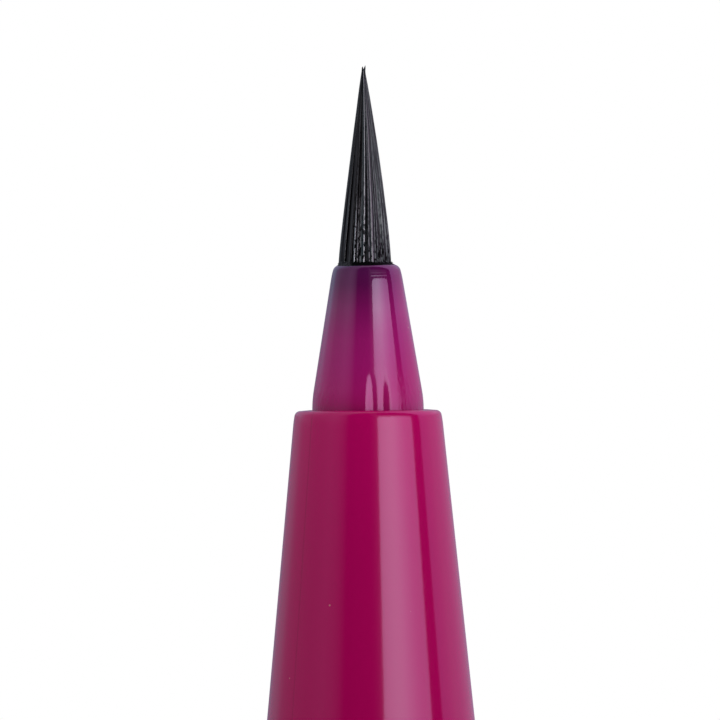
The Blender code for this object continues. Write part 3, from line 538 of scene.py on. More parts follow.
def make_front_section(finish):
    neck_rear_z = BARREL_FRONT_Z + FACE_GAP
    neck_front_z = neck_rear_z + NECK_LENGTH
    taper_length = SECTION_FRONT_Z - neck_front_z
    lean = math.atan2(FIT_RADIUS - SECTION_FRONT_RADIUS, taper_length)
    spigot = BARREL_BORE_RADIUS - SEAT_GAP
    nose_bore = NOSE_BASE_RADIUS + SEAT_GAP
    nose_seat_z = SECTION_FRONT_Z - NOSE_SEAT_DEPTH
    flange_bore = NOSE_FLANGE_RADIUS + SLIDE_GAP
    shoulder_z = SECTION_FRONT_Z - COLLECTOR_SHOULDER_DEPTH
    slope_z = shoulder_z + COLLECTOR_SHOULDER_SLOPE
    edge = SECTION_FRONT_ROUND
    edge_z = SECTION_FRONT_Z - SECTION_END_SLOPE - edge
    edge_radius = SECTION_FRONT_RADIUS + edge * math.tan(lean) - edge / math.cos(lean)
    edge_points = rounded(edge_radius, edge_z, edge, math.degrees(lean), 90)
    side_points = stepped((FIT_RADIUS, neck_front_z), edge_points[0], 2 * ROUND_STEPS)
    near_edge = stepped(side_points[-1], edge_points[0], 2 * ROUND_STEPS)
    edge_points = near_edge + edge_points
    side = [sag(point, SECTION_FRONT_Z, SECTION_EDGE_SAG, SECTION_EDGE_SAG_LENGTH) for point in edge_points]
    outline = [
        (COLLECTOR_BORE_RADIUS, SECTION_REAR_Z),
        (spigot - EDGE_ROUND, SECTION_REAR_Z),
        (spigot, SECTION_REAR_Z + EDGE_ROUND),
        (spigot, neck_rear_z),
        (FIT_RADIUS, neck_rear_z),
    ]
    outline += grip_bead(neck_rear_z, 1)
    outline += [(FIT_RADIUS, neck_front_z)]
    outline += side_points + side
    outline += rounded(nose_bore + EDGE_ROUND / 2, SECTION_FRONT_Z - EDGE_ROUND / 2, EDGE_ROUND / 2, 90, 180)
    outline += [
        (nose_bore, nose_seat_z),
        (flange_bore, nose_seat_z),
        (flange_bore, slope_z),
        (COLLECTOR_WAIST_RADIUS, slope_z),
        (COLLECTOR_WAIST_RADIUS, shoulder_z),
        (COLLECTOR_BORE_RADIUS, shoulder_z),
    ]
    section = add_piece("tapered_front", turned_shape(outline, True, FINE_SIDES), finish)
    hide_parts("front_section")
    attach(section, "pen")


def cone_slope():
    return (NOSE_BASE_RADIUS - NOSE_TIP_RADIUS) / (NOSE_TIP_Z - SECTION_FRONT_Z - NOSE_BLEND_LENGTH / 2)


def cone_radius(level):
    """Outer radius of the straight cone and of the blend to its round foot."""
    rise = level - SECTION_FRONT_Z
    if rise <= 0:
        return NOSE_BASE_RADIUS
    if rise < NOSE_BLEND_LENGTH:
        return NOSE_BASE_RADIUS - cone_slope() * rise * rise / (2 * NOSE_BLEND_LENGTH)
    return NOSE_BASE_RADIUS - cone_slope() * (rise - NOSE_BLEND_LENGTH / 2)


def wall_rise(share):
    """Height of a wall that starts and ends flat, at a share of its width, for a steepest slope of one."""
    turned = 2 * share - 1
    return share - (1 + math.copysign(turned ** 4, turned)) / 8


def vent_depth(across, level):
    """Depth of an air groove at a distance across it and a level.

    Each of its two walls narrows to a point, and a low rib fills the middle.
    """
    rise = min(1.0, max(0.0, level - SECTION_FRONT_Z) / VENT_LENGTH)
    fade = 1 - rise ** VENT_FADE_POWER
    point = math.sqrt(1 - rise ** VENT_POINT_POWER)
    wall_middle = (VENT_WIDTH + VENT_RIB_FOOT) / 4
    wall_half = (VENT_WIDTH - VENT_RIB_FOOT) / 4 * point
    across = abs(across)
    if wall_half == 0.0 or across >= wall_middle + wall_half:
        return 0.0
    foot = wall_middle - wall_half
    drop = 2 * wall_half * VENT_WALL_SLOPE
    depth = drop * (wall_rise(1.0) - wall_rise(max(0.0, across - foot) / (2 * wall_half)))
    if across < foot:
        depth -= VENT_RIB_SLOPE * point * point * foot * (wall_rise(1.0) - wall_rise(across / foot))
    return max(0.0, depth) * fade


def press_vents(shape):
    """Presses the air grooves into the foot of the nose cone and through its flange."""
    for corner in shape.verts:
        level = corner.co.z
        radius = corner.co.xy.length
        outer = cone_radius(level)
        if level > SECTION_FRONT_Z + VENT_LENGTH or radius < outer - MERGE_DISTANCE:
            continue
        azimuth = math.atan2(corner.co.x, -corner.co.y)
        for index in range(VENT_COUNT):
            away = math.remainder(azimuth - VENT_TURN - math.tau * index / VENT_COUNT, math.tau)
            depth = vent_depth(away * NOSE_BASE_RADIUS, level)
            if depth > 0.0:
                corner.co.xy *= (outer - depth) / radius


def make_nose_cone(finish):
    seat_z = SECTION_FRONT_Z - NOSE_SEAT_DEPTH - FACE_GAP
    mouth = NOSE_MOUTH_RADIUS + FACE_GAP
    outline = rounded(mouth, NOSE_TIP_Z - FACE_GAP, FACE_GAP, 180, 90, NOSE_MOUTH_STEPS)[:-1]
    side = []
    for step in range(2 * ROUND_STEPS + 1):
        turn = math.pi / 2 * (1 - step / (2 * ROUND_STEPS))
        level = NOSE_TIP_Z - NOSE_LIP_ROUND * (1 - math.sin(turn))
        side.append((cone_radius(level) - NOSE_LIP_ROUND * (1 - math.cos(turn)), level))
    top_z = NOSE_TIP_Z - NOSE_LIP_ROUND
    for step in range(1, NOSE_ROWS + 1):
        level = top_z + (SECTION_FRONT_Z - FACE_GAP - top_z) * step / NOSE_ROWS
        side.append((cone_radius(level), level))
    outline += [sag(point, NOSE_TIP_Z, NOSE_LIP_SAG, NOSE_LIP_SAG_LENGTH) for point in side]
    outline += [
        (NOSE_BASE_RADIUS, seat_z),
        (NOSE_FLANGE_RADIUS, seat_z),
        (NOSE_FLANGE_RADIUS, NOSE_REAR_Z),
        (SLEEVE_BORE_RADIUS, NOSE_REAR_Z),
        (SLEEVE_BORE_RADIUS, NOSE_TIP_Z - SLEEVE_DEPTH),
        (NOSE_MOUTH_RADIUS, NOSE_TIP_Z - SLEEVE_DEPTH),
    ]
    shape = turned_shape(outline, True, NOSE_SIDES)
    press_vents(shape)
    cone = add_piece("brush_nose", shape, finish)
    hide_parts("nose_cone")
    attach(cone, "pen")


def make_ball(finish):
    low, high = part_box("mixing_ball")
    middle = (low + high) / 2
    shape = bmesh.new()
    bmesh.ops.create_icosphere(
        shape, subdivisions=BALL_SUBDIVISIONS, radius=(high.z - low.z) / 2, matrix=Matrix.Translation(middle)
    )
    ball = add_piece("steel_ball", shape, finish)
    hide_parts("mixing_ball")
    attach(ball, "mixing_ball")


# The brush and its hairs


def tuft_outline(share):
    """Radius of the tuft at a share of its length above the nose."""
    return TUFT_RADIUS * (1 - TUFT_OUTLINE_FALL * max(0.0, share) ** TUFT_OUTLINE_POWER)


def tuft_middle(share):
    """Sideways place of the tuft's middle line, which sways a little."""
    return TUFT_LEAN + TUFT_SWAY * math.sin(math.pi * max(0.0, share) / TUFT_SWAY_SPAN)


def make_clumps(chance):
    """Clumps that the wet hairs draw into: each has a middle, as a share of the radius, and a depth."""
    clumps = []
    for count, ring in HAIR_CLUMP_RINGS:
        first = chance.uniform(0, math.tau)
        for index in range(count):
            scatter = chance.uniform(-HAIR_CLUMP_SCATTER, HAIR_CLUMP_SCATTER)
            turn = first + math.tau * (index + scatter) / count
            middle = Vector((math.cos(turn), math.sin(turn))) * ring
            clumps.append((middle, HAIR_CLUMP_SINK * chance.random() ** HAIR_CLUMP_SINK_POWER))
    return clumps


def hair_roots(chance):
    """Places of the hairs across the root, in rings, as shares of the tuft's radius, a little out of line."""
    step = HAIR_SPACING / TUFT_RADIUS
    rings = round(1 / step)
    places = []
    for ring in range(rings + 1):
        radius = ring / rings
        count = max(1, round(math.tau * radius / step))
        first = chance.uniform(0, math.tau)
        for index in range(count):
            turn = first + math.tau * (index + chance.uniform(-HAIR_SCATTER, HAIR_SCATTER)) / count
            reach = radius * (1 - HAIR_ROOT_SINK * chance.random() ** HAIR_ROOT_SINK_POWER)
            places.append(Vector((math.cos(turn), math.sin(turn))) * reach)
    return places


def hair_width(share):
    return HAIR_RADIUS * (1 - HAIR_THINNING * max(0.0, share))


def hair_point(root, clump, share, wander, split):
    """Middle of a hair at a share of the tuft's length."""
    middle, depth = clump
    above = max(0.0, share)
    drawn = min(1.0, HAIR_CLUMP_PULL_AT_ROOT + above * HAIR_CLUMP_PULL_RATE)
    spot = root.lerp(middle, HAIR_CLUMP_PULL * drawn)
    if spot.length > 0.0:
        spot *= root.length * (1 - depth * drawn) / spot.length
    spot = spot * max(0.0, tuft_outline(share) - HAIR_FLATNESS * hair_width(share))
    drift = noise.noise_vector(Vector((wander, share * HAIR_WANDER_WAVES, 0.0)))
    drift = drift * HAIR_WANDER * (1 - share * HAIR_WANDER_FADE)
    near_tip = max(0.0, (share - TUFT_TIP_SPLIT_FROM) / (1 - TUFT_TIP_SPLIT_FROM))
    apart = (split * TUFT_TIP_SPLIT + TUFT_TIP_BEND) * near_tip
    level = NOSE_TIP_Z + (BRUSH_TIP_Z - NOSE_TIP_Z) * share
    return Vector((spot.x + drift.x + apart + tuft_middle(share), spot.y + drift.y, level))


def straight_strand(stations):
    """Mesh of a straight strand of unit size, with a ring of corners at each whole level."""
    shape = bmesh.new()
    bmesh.ops.create_circle(shape, cap_ends=True, segments=HAIR_SIDES, radius=1.0)
    end = shape.verts[:] + shape.edges[:] + shape.faces[:]
    for _ in range(stations - 1):
        end = bmesh.ops.extrude_face_region(shape, geom=end)["geom"]
        corners = [part for part in end if isinstance(part, bmesh.types.BMVert)]
        bmesh.ops.translate(shape, verts=corners, vec=(0.0, 0.0, 1.0))
    bmesh.ops.recalc_face_normals(shape, faces=shape.faces)
    mesh = bpy.data.meshes.new("straight_strand")
    shape.to_mesh(mesh)
    shape.free()
    return mesh


def lay_strand(shape, strand, stations, outward, across, wetness_and_glint=0.0):
    """Adds a strand to the shape, bent through stations of (middle, half width)."""
    before = len(shape.verts)
    shape.from_mesh(strand)
    shape.verts.ensure_lookup_table()
    wet = shape.verts.layers.float["wetness_and_glint"]
    for corner in shape.verts[before:]:
        middle, radius = stations[round(corner.co.z)]
        corner.co = middle + (outward * corner.co.x + across * corner.co.y) * radius
        corner[wet] = wetness_and_glint


def lay_hair(shape, strand, root, clump, chance, proud=None):
    """Adds one hair, from the fused butt to its thin point.

    A proud one has a girth, a flatness and a wetness; the wetness thickens its ink film and also paints a
    pale glint into its colour.
    """
    girth, flatness, wetness_and_glint = proud or (1.0, HAIR_FLATNESS, HAIR_WETNESS_AND_GLINT * chance.random() ** 2)
    split = 1 if clump[0].x > TUFT_RIGHT_TIP_FROM else -1
    last = TUFT_RIGHT_TIP_SHARE if split > 0 else TUFT_LEFT_TIP_SHARE
    end = HAIR_SHORTEST_SHARE + (last - HAIR_SHORTEST_SHARE) * chance.random() ** HAIR_LENGTH_POWER
    if root.length < INNER_HAIR_REACH:
        end = max(end, last - INNER_HAIR_LENGTH_SPREAD * chance.random())
    if root.length < MIDDLE_HAIR_REACH:
        end = last
    if proud:
        end = max(end, PROUD_HAIR_END)
    wander = chance.uniform(0, HAIR_WANDER_PLACES)
    thick = girth * chance.uniform(*HAIR_THICKNESS)
    butt_share = (BUTT_REAR_Z + TUFT_BUTT_LENGTH / 2 - NOSE_TIP_Z) / (BRUSH_TIP_Z - NOSE_TIP_Z)
    point = HAIR_POINT_SHARE * end
    shares = [butt_share, 0.0]
    shares += [(end - point) * step / HAIR_STATIONS for step in range(1, HAIR_STATIONS + 1)]
    shares += [end - point * HAIR_POINT_MIDDLE, end]
    stations = []
    for share in shares:
        left = max(0.0, end - share) / point
        full = min(1.0, HAIR_POINT_WIDTH + (1 - HAIR_POINT_WIDTH) * math.sqrt(left))
        stations.append((hair_point(root, clump, share, wander, split), thick * hair_width(share) * full))
    outward = root.lerp(clump[0], HAIR_CLUMP_PULL)
    outward = outward.normalized().to_3d() if outward.length > CENTRE_HAIR_REACH else Vector((0.0, -1.0, 0.0))
    lay_strand(shape, strand, stations, outward * flatness, Vector((-outward.y, outward.x, 0.0)), wetness_and_glint)


def lay_stray(shape, strand, turn, chance):
    """Adds a short inky end that leans out over the nose's lip."""
    out = Vector((math.cos(turn), math.sin(turn), 0.0))
    reach = STRAY_LENGTH * chance.uniform(*STRAY_LENGTH_SHARES)
    if abs(turn) < STRAY_LONG_TURN:
        reach *= STRAY_LONG_RATIO
    rise = chance.uniform(*STRAY_RISE)
    root = out * STRAY_ROOT_RADIUS + Vector((TUFT_LEAN, 0.0, NOSE_TIP_Z + COLLAR_HEIGHT / 4))
    bend = root + out * reach * STRAY_BEND_SHARE + Vector((0.0, 0.0, reach * STRAY_BEND_RISE))
    end = bend + (out + Vector((0.0, 0.0, rise))).normalized() * reach * (1 - STRAY_BEND_SHARE)
    stations = [(root, STRAY_RADIUS), (bend, STRAY_RADIUS), (end, STRAY_RADIUS * STRAY_TIP_SHARE)]
    lay_strand(shape, strand, stations, Vector((0.0, 0.0, STRAY_FLATNESS)), Vector((out.y, -out.x, 0.0)))


def join_shape(shape, other):
    """Adds the other shape to the first."""
    mesh = bpy.data.meshes.new("joined_shape")
    other.to_mesh(mesh)
    other.free()
    shape.from_mesh(mesh)
    bpy.data.meshes.remove(mesh)


def lip_drop(radius):
    """How far the nose's rounded lip lies below its top at a radius."""
    out = LIP_NARROWING * max(0.0, radius - (NOSE_TIP_RADIUS - NOSE_LIP_ROUND - NOSE_LIP_SAG))
    return NOSE_LIP_ROUND - math.sqrt(max(0.0, NOSE_LIP_ROUND ** 2 - out ** 2))


def make_collar():
    """The uneven fillet of ink where the hairs leave the nose, which creeps over the lip at the front."""
    outline = [(TUFT_RADIUS + COLLAR_SPREAD * out, COLLAR_HEIGHT * up) for out, up in COLLAR_SECTION]
    outline += [(TUFT_RADIUS + COLLAR_SPREAD, -COLLAR_SINK), (TUFT_RADIUS - COLLAR_SPREAD, -SEAT_GAP / 2)]
    collar = turned_shape(outline, True, COLLAR_SIDES)
    for corner in collar.verts:
        out = corner.co.xy.normalized()
        rough = noise.noise(out.to_3d() * COLLAR_ROUGH_SCALE + COLLAR_ROUGH_FROM)
        fine = noise.noise(out.to_3d() * COLLAR_FINE_SCALE)
        most = COLLAR_SPREAD_FRONT * max(0.0, -out.y) ** COLLAR_FRONT_POWER
        most += COLLAR_SPREAD_RIGHT * max(0.0, out.x) ** COLLAR_RIGHT_POWER
        wide = 1 + COLLAR_ROUGH_SPREAD * rough + COLLAR_FINE_SPREAD * fine + most / COLLAR_SPREAD
        wide -= COLLAR_HOLD_LEFT * max(0.0, -out.x) ** COLLAR_LEFT_POWER
        reach = corner.co.xy.length
        level = corner.co.z
        if level > 0.0:
            level *= 1 + COLLAR_FINE_HEIGHT * fine + COLLAR_ROUGH_HEIGHT * rough
        over_lip = reach > TUFT_RADIUS
        if over_lip:
            reach = TUFT_RADIUS + (reach - TUFT_RADIUS) * wide
        spot = Vector((out.x * reach + TUFT_LEAN * COLLAR_LEAN, out.y * reach))
        if over_lip:
            level -= lip_drop(spot.length)
        corner.co = spot.to_3d() + Vector((0.0, 0.0, NOSE_TIP_Z + level))
    return collar


def make_brush(finish):
    chance = random.Random(HAIR_SEED)
    # Without a seed, noise_vector takes the clock's, and the hairs wander another way each run.
    noise.seed_set(HAIR_SEED)
    clumps = make_clumps(chance)
    butt_front_z = BUTT_REAR_Z + TUFT_BUTT_LENGTH
    butt = [
        (0.0, BUTT_REAR_Z),
        (TUFT_BUTT_RADIUS, BUTT_REAR_Z),
        (TUFT_BUTT_RADIUS, butt_front_z),
        (0.0, butt_front_z),
    ]
    shape = bmesh.new()
    shape.verts.layers.float.new("wetness_and_glint")
    strand = straight_strand(HAIR_STATIONS + 4)
    for root in hair_roots(chance):
        lay_hair(shape, strand, root, min(clumps, key=lambda clump: (clump[0] - root).length), chance)
    for degrees, *proud in PROUD_HAIRS:
        turn = math.radians(degrees)
        root = Vector((math.sin(turn), -math.cos(turn))) * PROUD_HAIR_REACH
        lay_hair(shape, strand, root, (root, 0.0), chance, proud)
    bpy.data.meshes.remove(strand)
    strand = straight_strand(3)
    for index in range(STRAY_COUNT):
        turn = math.tau * (index + chance.uniform(-0.5, 0.5)) / STRAY_COUNT
        lay_stray(shape, strand, math.remainder(turn, math.tau), chance)
    bpy.data.meshes.remove(strand)
    join_shape(shape, turned_shape(butt, False, BUTT_SIDES))
    join_shape(shape, make_collar())
    brush = add_piece("brush_hairs", shape, finish, HAIR_SMOOTH_ANGLE)
    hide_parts("brush_tuft")
    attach(brush, "pen")


# Finishes


def add_node(tree, kind, **settings):
    node = tree.nodes.new(kind)
    for name, value in settings.items():
        setattr(node, name, value)
    return node


def set_inputs(node, **values):
    for name, value in values.items():
        node.inputs[name.replace("_", " ")].default_value = value
    return node


def feed(node, socket, value):
    """Links a value to an input of a node, given by its name or its number."""
    node.id_data.links.new(value, node.inputs[socket])


def new_group(name, inputs, outputs):
    """A node group that takes a place and named numbers, and puts out named numbers."""
    group = bpy.data.node_groups.new(name, "ShaderNodeTree")
    group.interface.new_socket(name="Place", in_out="INPUT", socket_type="NodeSocketVector")
    for label, value in inputs.items():
        socket = group.interface.new_socket(name=label, in_out="INPUT", socket_type="NodeSocketFloat")
        socket.default_value = value
    for label in outputs:
        group.interface.new_socket(name=label, in_out="OUTPUT", socket_type="NodeSocketFloat")
    entry = add_node(group, "NodeGroupInput")
    leave = add_node(group, "NodeGroupOutput")
    return group, entry.outputs, leave.inputs


def math_node(tree, operation, *values):
    node = add_node(tree, "ShaderNodeMath", operation=operation)
    for socket, value in zip(node.inputs, values):
        if isinstance(value, (int, float)):
            socket.default_value = value
        else:
            tree.links.new(value, socket)
    return node.outputs[0]


def times(tree, first, *factors):
    """Product of a value and one or more factors, from left to right."""
    for factor in factors:
        first = math_node(tree, "MULTIPLY", first, factor)
    return first


def plus(tree, first, second):
    return math_node(tree, "ADD", first, second)


def minus(tree, first, second):
    return math_node(tree, "SUBTRACT", first, second)


def object_place(tree):
    return add_node(tree, "ShaderNodeTexCoord").outputs["Object"]


def split_up(tree, place):
    """The x, y and z of a place."""
    parts = add_node(tree, "ShaderNodeSeparateXYZ")
    feed(parts, 0, place)
    return parts.outputs


def join_up(tree, *parts):
    """A place made of its x, its y and, where one is given, its z."""
    place = add_node(tree, "ShaderNodeCombineXYZ")
    for index, part in enumerate(parts):
        feed(place, index, part)
    return place.outputs[0]


def length_of(tree, place):
    reach = add_node(tree, "ShaderNodeVectorMath", operation="LENGTH")
    feed(reach, 0, place)
    return reach.outputs["Value"]


def noise_at(tree, place, scale, detail=2.0):
    """Noise on a place that is stretched by features a metre in x, y and z."""
    stretch = set_inputs(add_node(tree, "ShaderNodeMapping"), Scale=scale)
    feed(stretch, "Vector", place)
    cloud = set_inputs(add_node(tree, "ShaderNodeTexNoise"), Scale=1.0, Detail=detail)
    feed(cloud, "Vector", stretch.outputs["Vector"])
    return cloud.outputs["Fac"]


def spread(tree, value, from_low, from_high, to_low=0.0, to_high=1.0):
    """A value carried from one range over to another, and held at its ends."""
    node = add_node(tree, "ShaderNodeMapRange")
    for index, number in enumerate((from_low, from_high, to_low, to_high), start=1):
        node.inputs[index].default_value = number
    feed(node, 0, value)
    return node.outputs[0]


def make_handling_group():
    """Faint smears and the soft unevenness of a moulded surface."""
    inputs = {"Roughness": 0.15, "Smear": 0.03}
    group, given, result = new_group("handling_smears", inputs, ("Roughness", "Height"))
    smears = noise_at(group, given["Place"], SMEAR_SCALE, detail=4.0)
    fine = noise_at(group, given["Place"], SKIN_SCALE, detail=3.0)
    scaled = times(group, minus(group, smears, 0.5), given["Smear"])
    group.links.new(plus(group, scaled, given["Roughness"]), result["Roughness"])
    group.links.new(fine, result["Height"])
    return group


def make_dust_group():
    """Sparse specks of dust, as a mask."""
    inputs = {"Spacing": 1600.0, "Share": 0.06, "Size": 0.08}
    group, given, result = new_group("settled_dust", inputs, ("Mask",))
    cells = add_node(group, "ShaderNodeTexVoronoi", feature="F1")
    feed(cells, "Vector", given["Place"])
    feed(cells, "Scale", given["Spacing"])
    near = math_node(group, "LESS_THAN", cells.outputs["Distance"], given["Size"])
    parts = add_node(group, "ShaderNodeSeparateColor")
    feed(parts, "Color", cells.outputs["Color"])
    chosen = math_node(group, "LESS_THAN", parts.outputs[0], given["Share"])
    group.links.new(times(group, near, chosen), result["Mask"])
    return group


def make_seam_group():
    """A fine parting line down each side of a moulded piece, as a mask."""
    group, given, result = new_group("parting_line", {"Turn": 0.0, "Width": 0.00002}, ("Mask",))
    x, y, _ = split_up(group, given["Place"])
    along_x = times(group, x, math_node(group, "COSINE", given["Turn"]))
    along_y = times(group, y, math_node(group, "SINE", given["Turn"]))
    away = math_node(group, "ABSOLUTE", plus(group, along_x, along_y))
    near = math_node(group, "DIVIDE", away, given["Width"])
    group.links.new(math_node(group, "EXPONENT", times(group, near, near, -1.0)), result["Mask"])
    return group


def finish_parts(finish):
    """Node tree of a finish, its shader and the place on the piece."""
    tree = finish.node_tree
    return tree, tree.nodes["Principled BSDF"], object_place(tree)


def new_finish(name):
    finish = bpy.data.materials.new(name)
    finish.use_nodes = True
    return finish, *finish_parts(finish)


def use_group(tree, group, place, **values):
    node = set_inputs(add_node(tree, "ShaderNodeGroup", node_tree=group), **values)
    feed(node, "Place", place)
    return node.outputs


def link_bump(tree, shader, height, distance):
    bump = set_inputs(add_node(tree, "ShaderNodeBump"), Strength=1.0, Distance=distance)
    feed(bump, "Height", height)
    feed(shader, "Normal", bump.outputs["Normal"])


def grey(level):
    return (level, level, level)


def colour_ramp(tree, value, stops):
    ramp = add_node(tree, "ShaderNodeValToRGB")
    points = ramp.color_ramp.elements
    while len(points) < len(stops):
        points.new(0.5)
    for point, (spot, colour) in zip(points, sorted(stops)):
        point.position = spot
        point.color = (*colour, 1.0)
    feed(ramp, "Fac", value)
    return ramp.outputs["Color"]


def grey_ramp(tree, value, stops):
    return colour_ramp(tree, value, [(spot, grey(level)) for spot, level in stops])


def blend_colour(tree, mask, under, over):
    mix = add_node(tree, "ShaderNodeMix", data_type="RGBA")
    feed(mix, "Factor", mask)
    for socket, colour in ((mix.inputs["A"], under), (mix.inputs["B"], over)):
        if isinstance(colour, tuple):
            socket.default_value = (*colour, 1.0)
        else:
            tree.links.new(colour, socket)
    return mix.outputs["Result"]


GROUPS = {
    "smears": make_handling_group(),
    "dust": make_dust_group(),
    "seam": make_seam_group(),
}


def level_share(tree, place, low, high):
    """Share of the way from a low level to a high one."""
    return spread(tree, split_up(tree, place)[2], low, high)


def gloss_plastic(name, low, high, stops, tint, roughness, painted_light_slant=0.0, seam=True, unevenness=0.10):
    """Glossy moulded plastic whose colour changes along the pen, with smears, dust and a parting line.

    The slant paints light on the pen's right side: it shifts the colours up there, so that the paler
    ones of lower levels reach higher, as where light from the right shines into the plastic.
    """
    finish, tree, shader, place = new_finish(name)
    share = level_share(tree, place, low, high)
    # Painted light: the right side takes the paler colours of lower levels.
    if painted_light_slant:
        to_right = math_node(tree, "MAXIMUM", split_up(tree, place)[0], 0.0)
        share = minus(tree, share, times(tree, to_right, painted_light_slant / (high - low)))
    cloud = noise_at(tree, place, TINT_SCALE, detail=3.0)
    nudge = times(tree, minus(tree, cloud, 0.5), TINT_CHANGE)
    colour = colour_ramp(tree, plus(tree, share, nudge), stops)
    marks = use_group(tree, GROUPS["smears"], place, Roughness=roughness, Smear=0.05)
    height = times(tree, marks["Height"], unevenness)
    if seam:
        line = use_group(tree, GROUPS["seam"], place, Turn=SEAM_TURN, Width=SEAM_WIDTH)["Mask"]
        colour = blend_colour(tree, times(tree, line, SEAM_TINT), colour, SEAM_COLOUR)
        height = minus(tree, height, times(tree, line, SEAM_STEP))
    dust = use_group(tree, GROUPS["dust"], place, Spacing=1300.0, Share=0.035, Size=0.055)["Mask"]
    feed(shader, "Base Color", blend_colour(tree, times(tree, dust, DUST_TINT), colour, DUST_COLOUR))
    feed(shader, "Roughness", marks["Roughness"])
    link_bump(tree, shader, height, GLOSS_RELIEF)
    set_inputs(shader, Specular_Tint=(*tint, 1.0), IOR=PLASTIC_IOR)
    return finish


def wear_foot(finish):
    """Dulls the nose towards its foot, and scuffs both sides of it with short marks along the pen."""
    tree, shader, place = finish_parts(finish)
    share = level_share(tree, place, SECTION_FRONT_Z, NOSE_TIP_Z)
    smears = shader.inputs["Roughness"].links[0].from_node
    feed(smears, "Roughness", grey_ramp(tree, share, NOSE_WEAR))
    from_middle = math_node(tree, "ABSOLUTE", split_up(tree, place)[0])
    beside = spread(tree, from_middle, *SCUFF_FROM_MIDDLE)
    low = spread(tree, share, *SCUFF_UP)
    scuffs = spread(tree, noise_at(tree, place, SCUFF_SCALE), *SCUFF_MARKS)
    scuffs = times(tree, scuffs, times(tree, beside, low))
    bump = shader.inputs["Normal"].links[0].from_node
    before = bump.inputs["Height"].links[0].from_socket
    feed(bump, "Height", plus(tree, before, scuffs))


def add_wet_sheen(finish):
    """Gives the nose a thin film that is thickest a little below the brush."""
    tree, shader, place = finish_parts(finish)
    share = level_share(tree, place, SECTION_FRONT_Z, NOSE_TIP_Z)
    feed(shader, "Coat Weight", grey_ramp(tree, share, NOSE_SHEEN))
    set_inputs(shader, Coat_Roughness=0.03, Coat_IOR=1.5)


def moulded_plastic(name, stops, roughness):
    """Unpainted moulded plastic, a little cloudy, with a fine grain."""
    finish, tree, shader, place = new_finish(name)
    cloud = noise_at(tree, place, CLOUD_SCALE, detail=3.0)
    feed(shader, "Base Color", colour_ramp(tree, cloud, stops))
    marks = use_group(tree, GROUPS["smears"], place, Roughness=roughness, Smear=0.08)
    feed(shader, "Roughness", marks["Roughness"])
    link_bump(tree, shader, marks["Height"], MOULDED_RELIEF)
    set_inputs(shader, Subsurface_Weight=0.15, Subsurface_Radius=GLOW_DEPTHS, Subsurface_Scale=1.0)
    return finish


def along_hairs(tree, place):
    """Coordinates that close up towards the tip as the hairs do, and places in the tuft.

    Puts out the coordinates, the share of the tuft's length, the depth below its outline in metres, and the
    place across it, from -1 at the left to 1 at the right.
    """
    x, y, z = split_up(tree, place)
    share = spread(tree, z, NOSE_TIP_Z, BRUSH_TIP_Z)
    fall = times(tree, math_node(tree, "POWER", share, TUFT_OUTLINE_POWER), TUFT_OUTLINE_FALL)
    narrow = minus(tree, 1.0, fall)
    sway = math_node(tree, "SINE", times(tree, share, math.pi / TUFT_SWAY_SPAN))
    off_x = minus(tree, x, plus(tree, times(tree, sway, TUFT_SWAY), TUFT_LEAN))
    outline = times(tree, narrow, TUFT_RADIUS)
    depth = minus(tree, outline, length_of(tree, join_up(tree, off_x, y)))
    spot = join_up(tree, math_node(tree, "DIVIDE", off_x, narrow), math_node(tree, "DIVIDE", y, narrow), z)
    return spot, share, depth, math_node(tree, "DIVIDE", off_x, outline)


